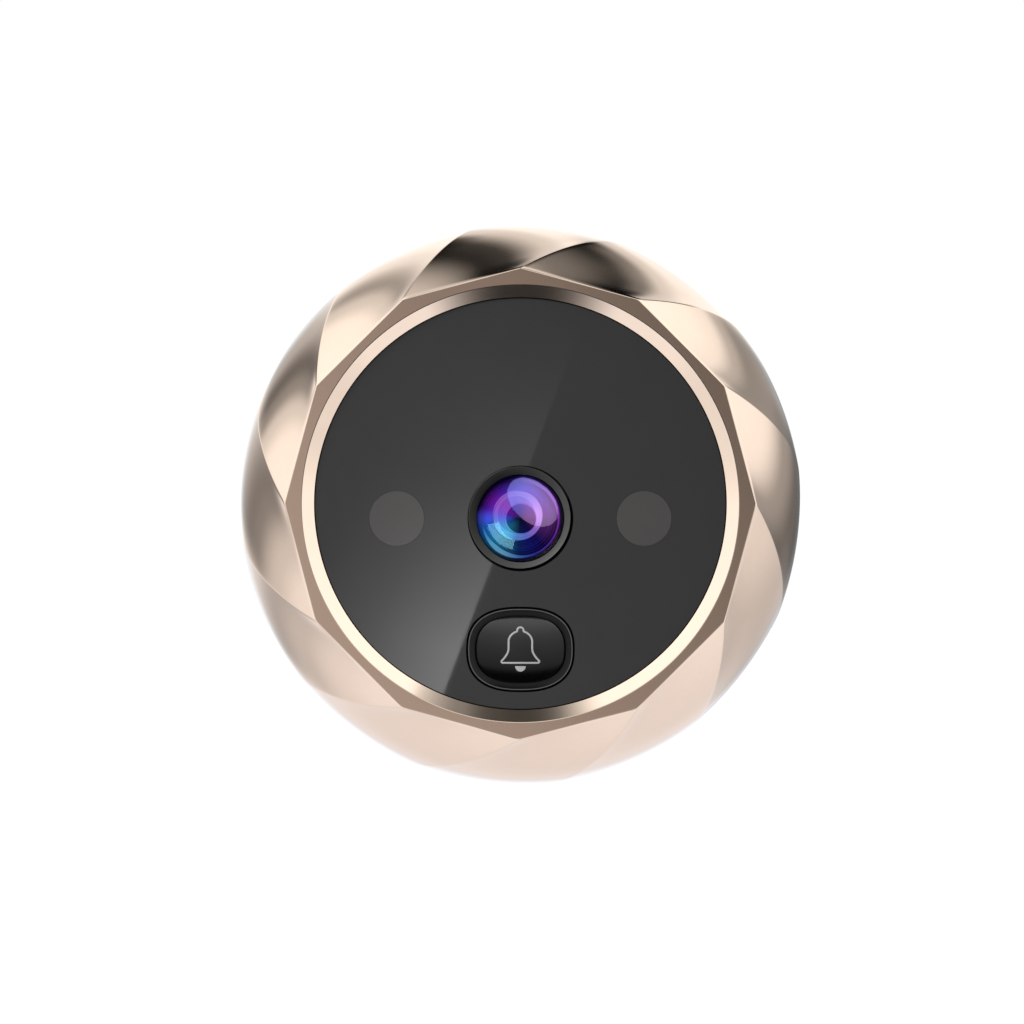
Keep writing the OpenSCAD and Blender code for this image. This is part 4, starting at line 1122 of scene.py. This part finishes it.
def make_lens_lights(glass):
    """Reflections on the front glass: a large window at the upper right and a small one opposite it."""
    tilt = Matrix.Rotation(radians(-43), 2)
    rim, middle, half_length, half_width = 4.5, Vector((1.33, 1.76)), 3.15, 2.1

    def in_window(unit, share):
        spot = middle + tilt @ Vector((half_length * share * unit.x, half_width * share * unit.y))
        if spot.length > rim:
            spot *= rim / spot.length
        return seen_in_glass(*spot)

    bm, _, _ = lofted([1.0, 0.8, 0.6, 0.4, 0.2, 0.0], in_window, 96)
    ops.remove_doubles(bm, verts=bm.verts, dist=0.001)
    look, glow = light_card("large_window", bm, (1, 1, 1), 8.6, [glass])
    place = place_of(look, (0, 0, LENS_Y * MM), stretch=(1 / MM, 0, 1 / MM))
    x, _, _ = parts_of(look, place)
    across = ranged(look, x, 0, 1, -0.96, 3.07)
    out = add_node(look, "VectorMath", {0: place}, operation="LENGTH").outputs["Value"]
    middle_hues = ramp(look, across, [(0.1, (0.16, 0.2, 0.5)), (0.45, (0.48, 0.25, 0.58))])
    edge_hues = ramp(look, across, [(0.1, (0.29, 0.31, 0.76)), (0.55, (0.4, 0.36, 0.74)),
                                    (0.9, (0.42, 0.3, 0.52))])
    hue = blended(look, ranged(look, out, 0, 1, 1.44, 2.7), middle_hues, edge_hues)
    look.node_tree.links.new(hue, glow.inputs["Color"])

    bm = bmesh.new()
    ops.create_grid(bm, x_segments=48, y_segments=2, size=0.5)
    turn, span, mid_r, width, taper, drift = 223, 66, 2.95, 1.2, 0.25, 0.06
    for v in bm.verts:
        angle = radians(turn + span * v.co.x)
        r = mid_r + (width - taper * v.co.x) * v.co.y - drift * v.co.x
        v.co = seen_in_glass(r * cos(angle), r * sin(angle))
    light_card("small_window", bm, (0.36, 0.82, 0.92), 6.1, [glass])


def make_cap_glow(button):
    """Overhead softbox in the button's crown: bright at the top, gone before the bottom."""
    bm = sheet("glow")
    low, high, wide, curve = -2.55, 3.6, 10.5, 0.025
    for v in bm.verts:
        x = wide * (v.co.x - 0.5)
        v.co = seen_in_cap(x, low + curve * x ** 2 + (high - low) * v.co.y)
    look, glow = light_card("cap_glow", bm, (1, 1, 1), 10.5, button[:1])
    place = add_node(look, "UVMap", uv_map="glow").outputs[0]
    _, y, _ = parts_of(look, place)
    rise = ramp(look, y, grey((0.0, 0), (0.08, 0.19), (0.45, 0.3), (0.65, 0.42), (0.85, 0.75), (1, 1)))
    look.node_tree.links.new(rise, glow.inputs["Color"])


def make_floor():
    """Pale floor that reads white and keeps the object's shadow."""
    bm = bmesh.new()
    ops.create_grid(bm, x_segments=1, y_segments=1, size=2)
    ops.translate(bm, verts=bm.verts, vec=(0, 0, FLOOR_HEIGHT))
    look = grained("pale_floor", (0.8, 0.8, 0.8), (0.79, 0.79, 0.79), 60, (0.85, 0.95))
    path = add_node(look, "LightPath").outputs
    seen = maths(look, "MAXIMUM", path["Is Camera Ray"], path["Is Glossy Ray"])
    seen = maths(look, "MAXIMUM", seen, path["Is Transmission Ray"])
    join(look, ranged(look, seen, 0, 0.62, 0, 1), "Emission Strength")
    shader_of(look).inputs["Emission Color"].default_value = (1, 1, 1, 1)
    floor = placed("floor", bm, look)
    floor.visible_glossy = False


scene.view_settings.view_transform = "Standard"
housing = make_housing()
front = make_panel()
lens_ring, glass, coated = make_lens()
button = make_button()
make_bell_sign()
make_door_side()
dress_inner_pieces()
make_snap_dome()
make_camera()
studio_world()
make_floor()
make_panel_sheen(front)
make_lens_tent()
make_lens_lights(glass)
make_cap_glow(button)
key = area_lamp("key_softbox", KEY_PLACE, (0, 0, 20), (220, 220), 1.6)
shine_on(key, [housing, glass, *coated, *button], only=False)
ring_light = area_lamp("ring_light", KEY_PLACE, (0, LENS_Y, 20), (160, 160), 20)
shine_on(ring_light, [lens_ring])
lens_fill = area_lamp("lens_fill", (0, LENS_Y, 320), (0, LENS_Y, 20), (120, 120), 0.68)
lens_fill.visible_glossy = False
shine_on(lens_fill, coated)
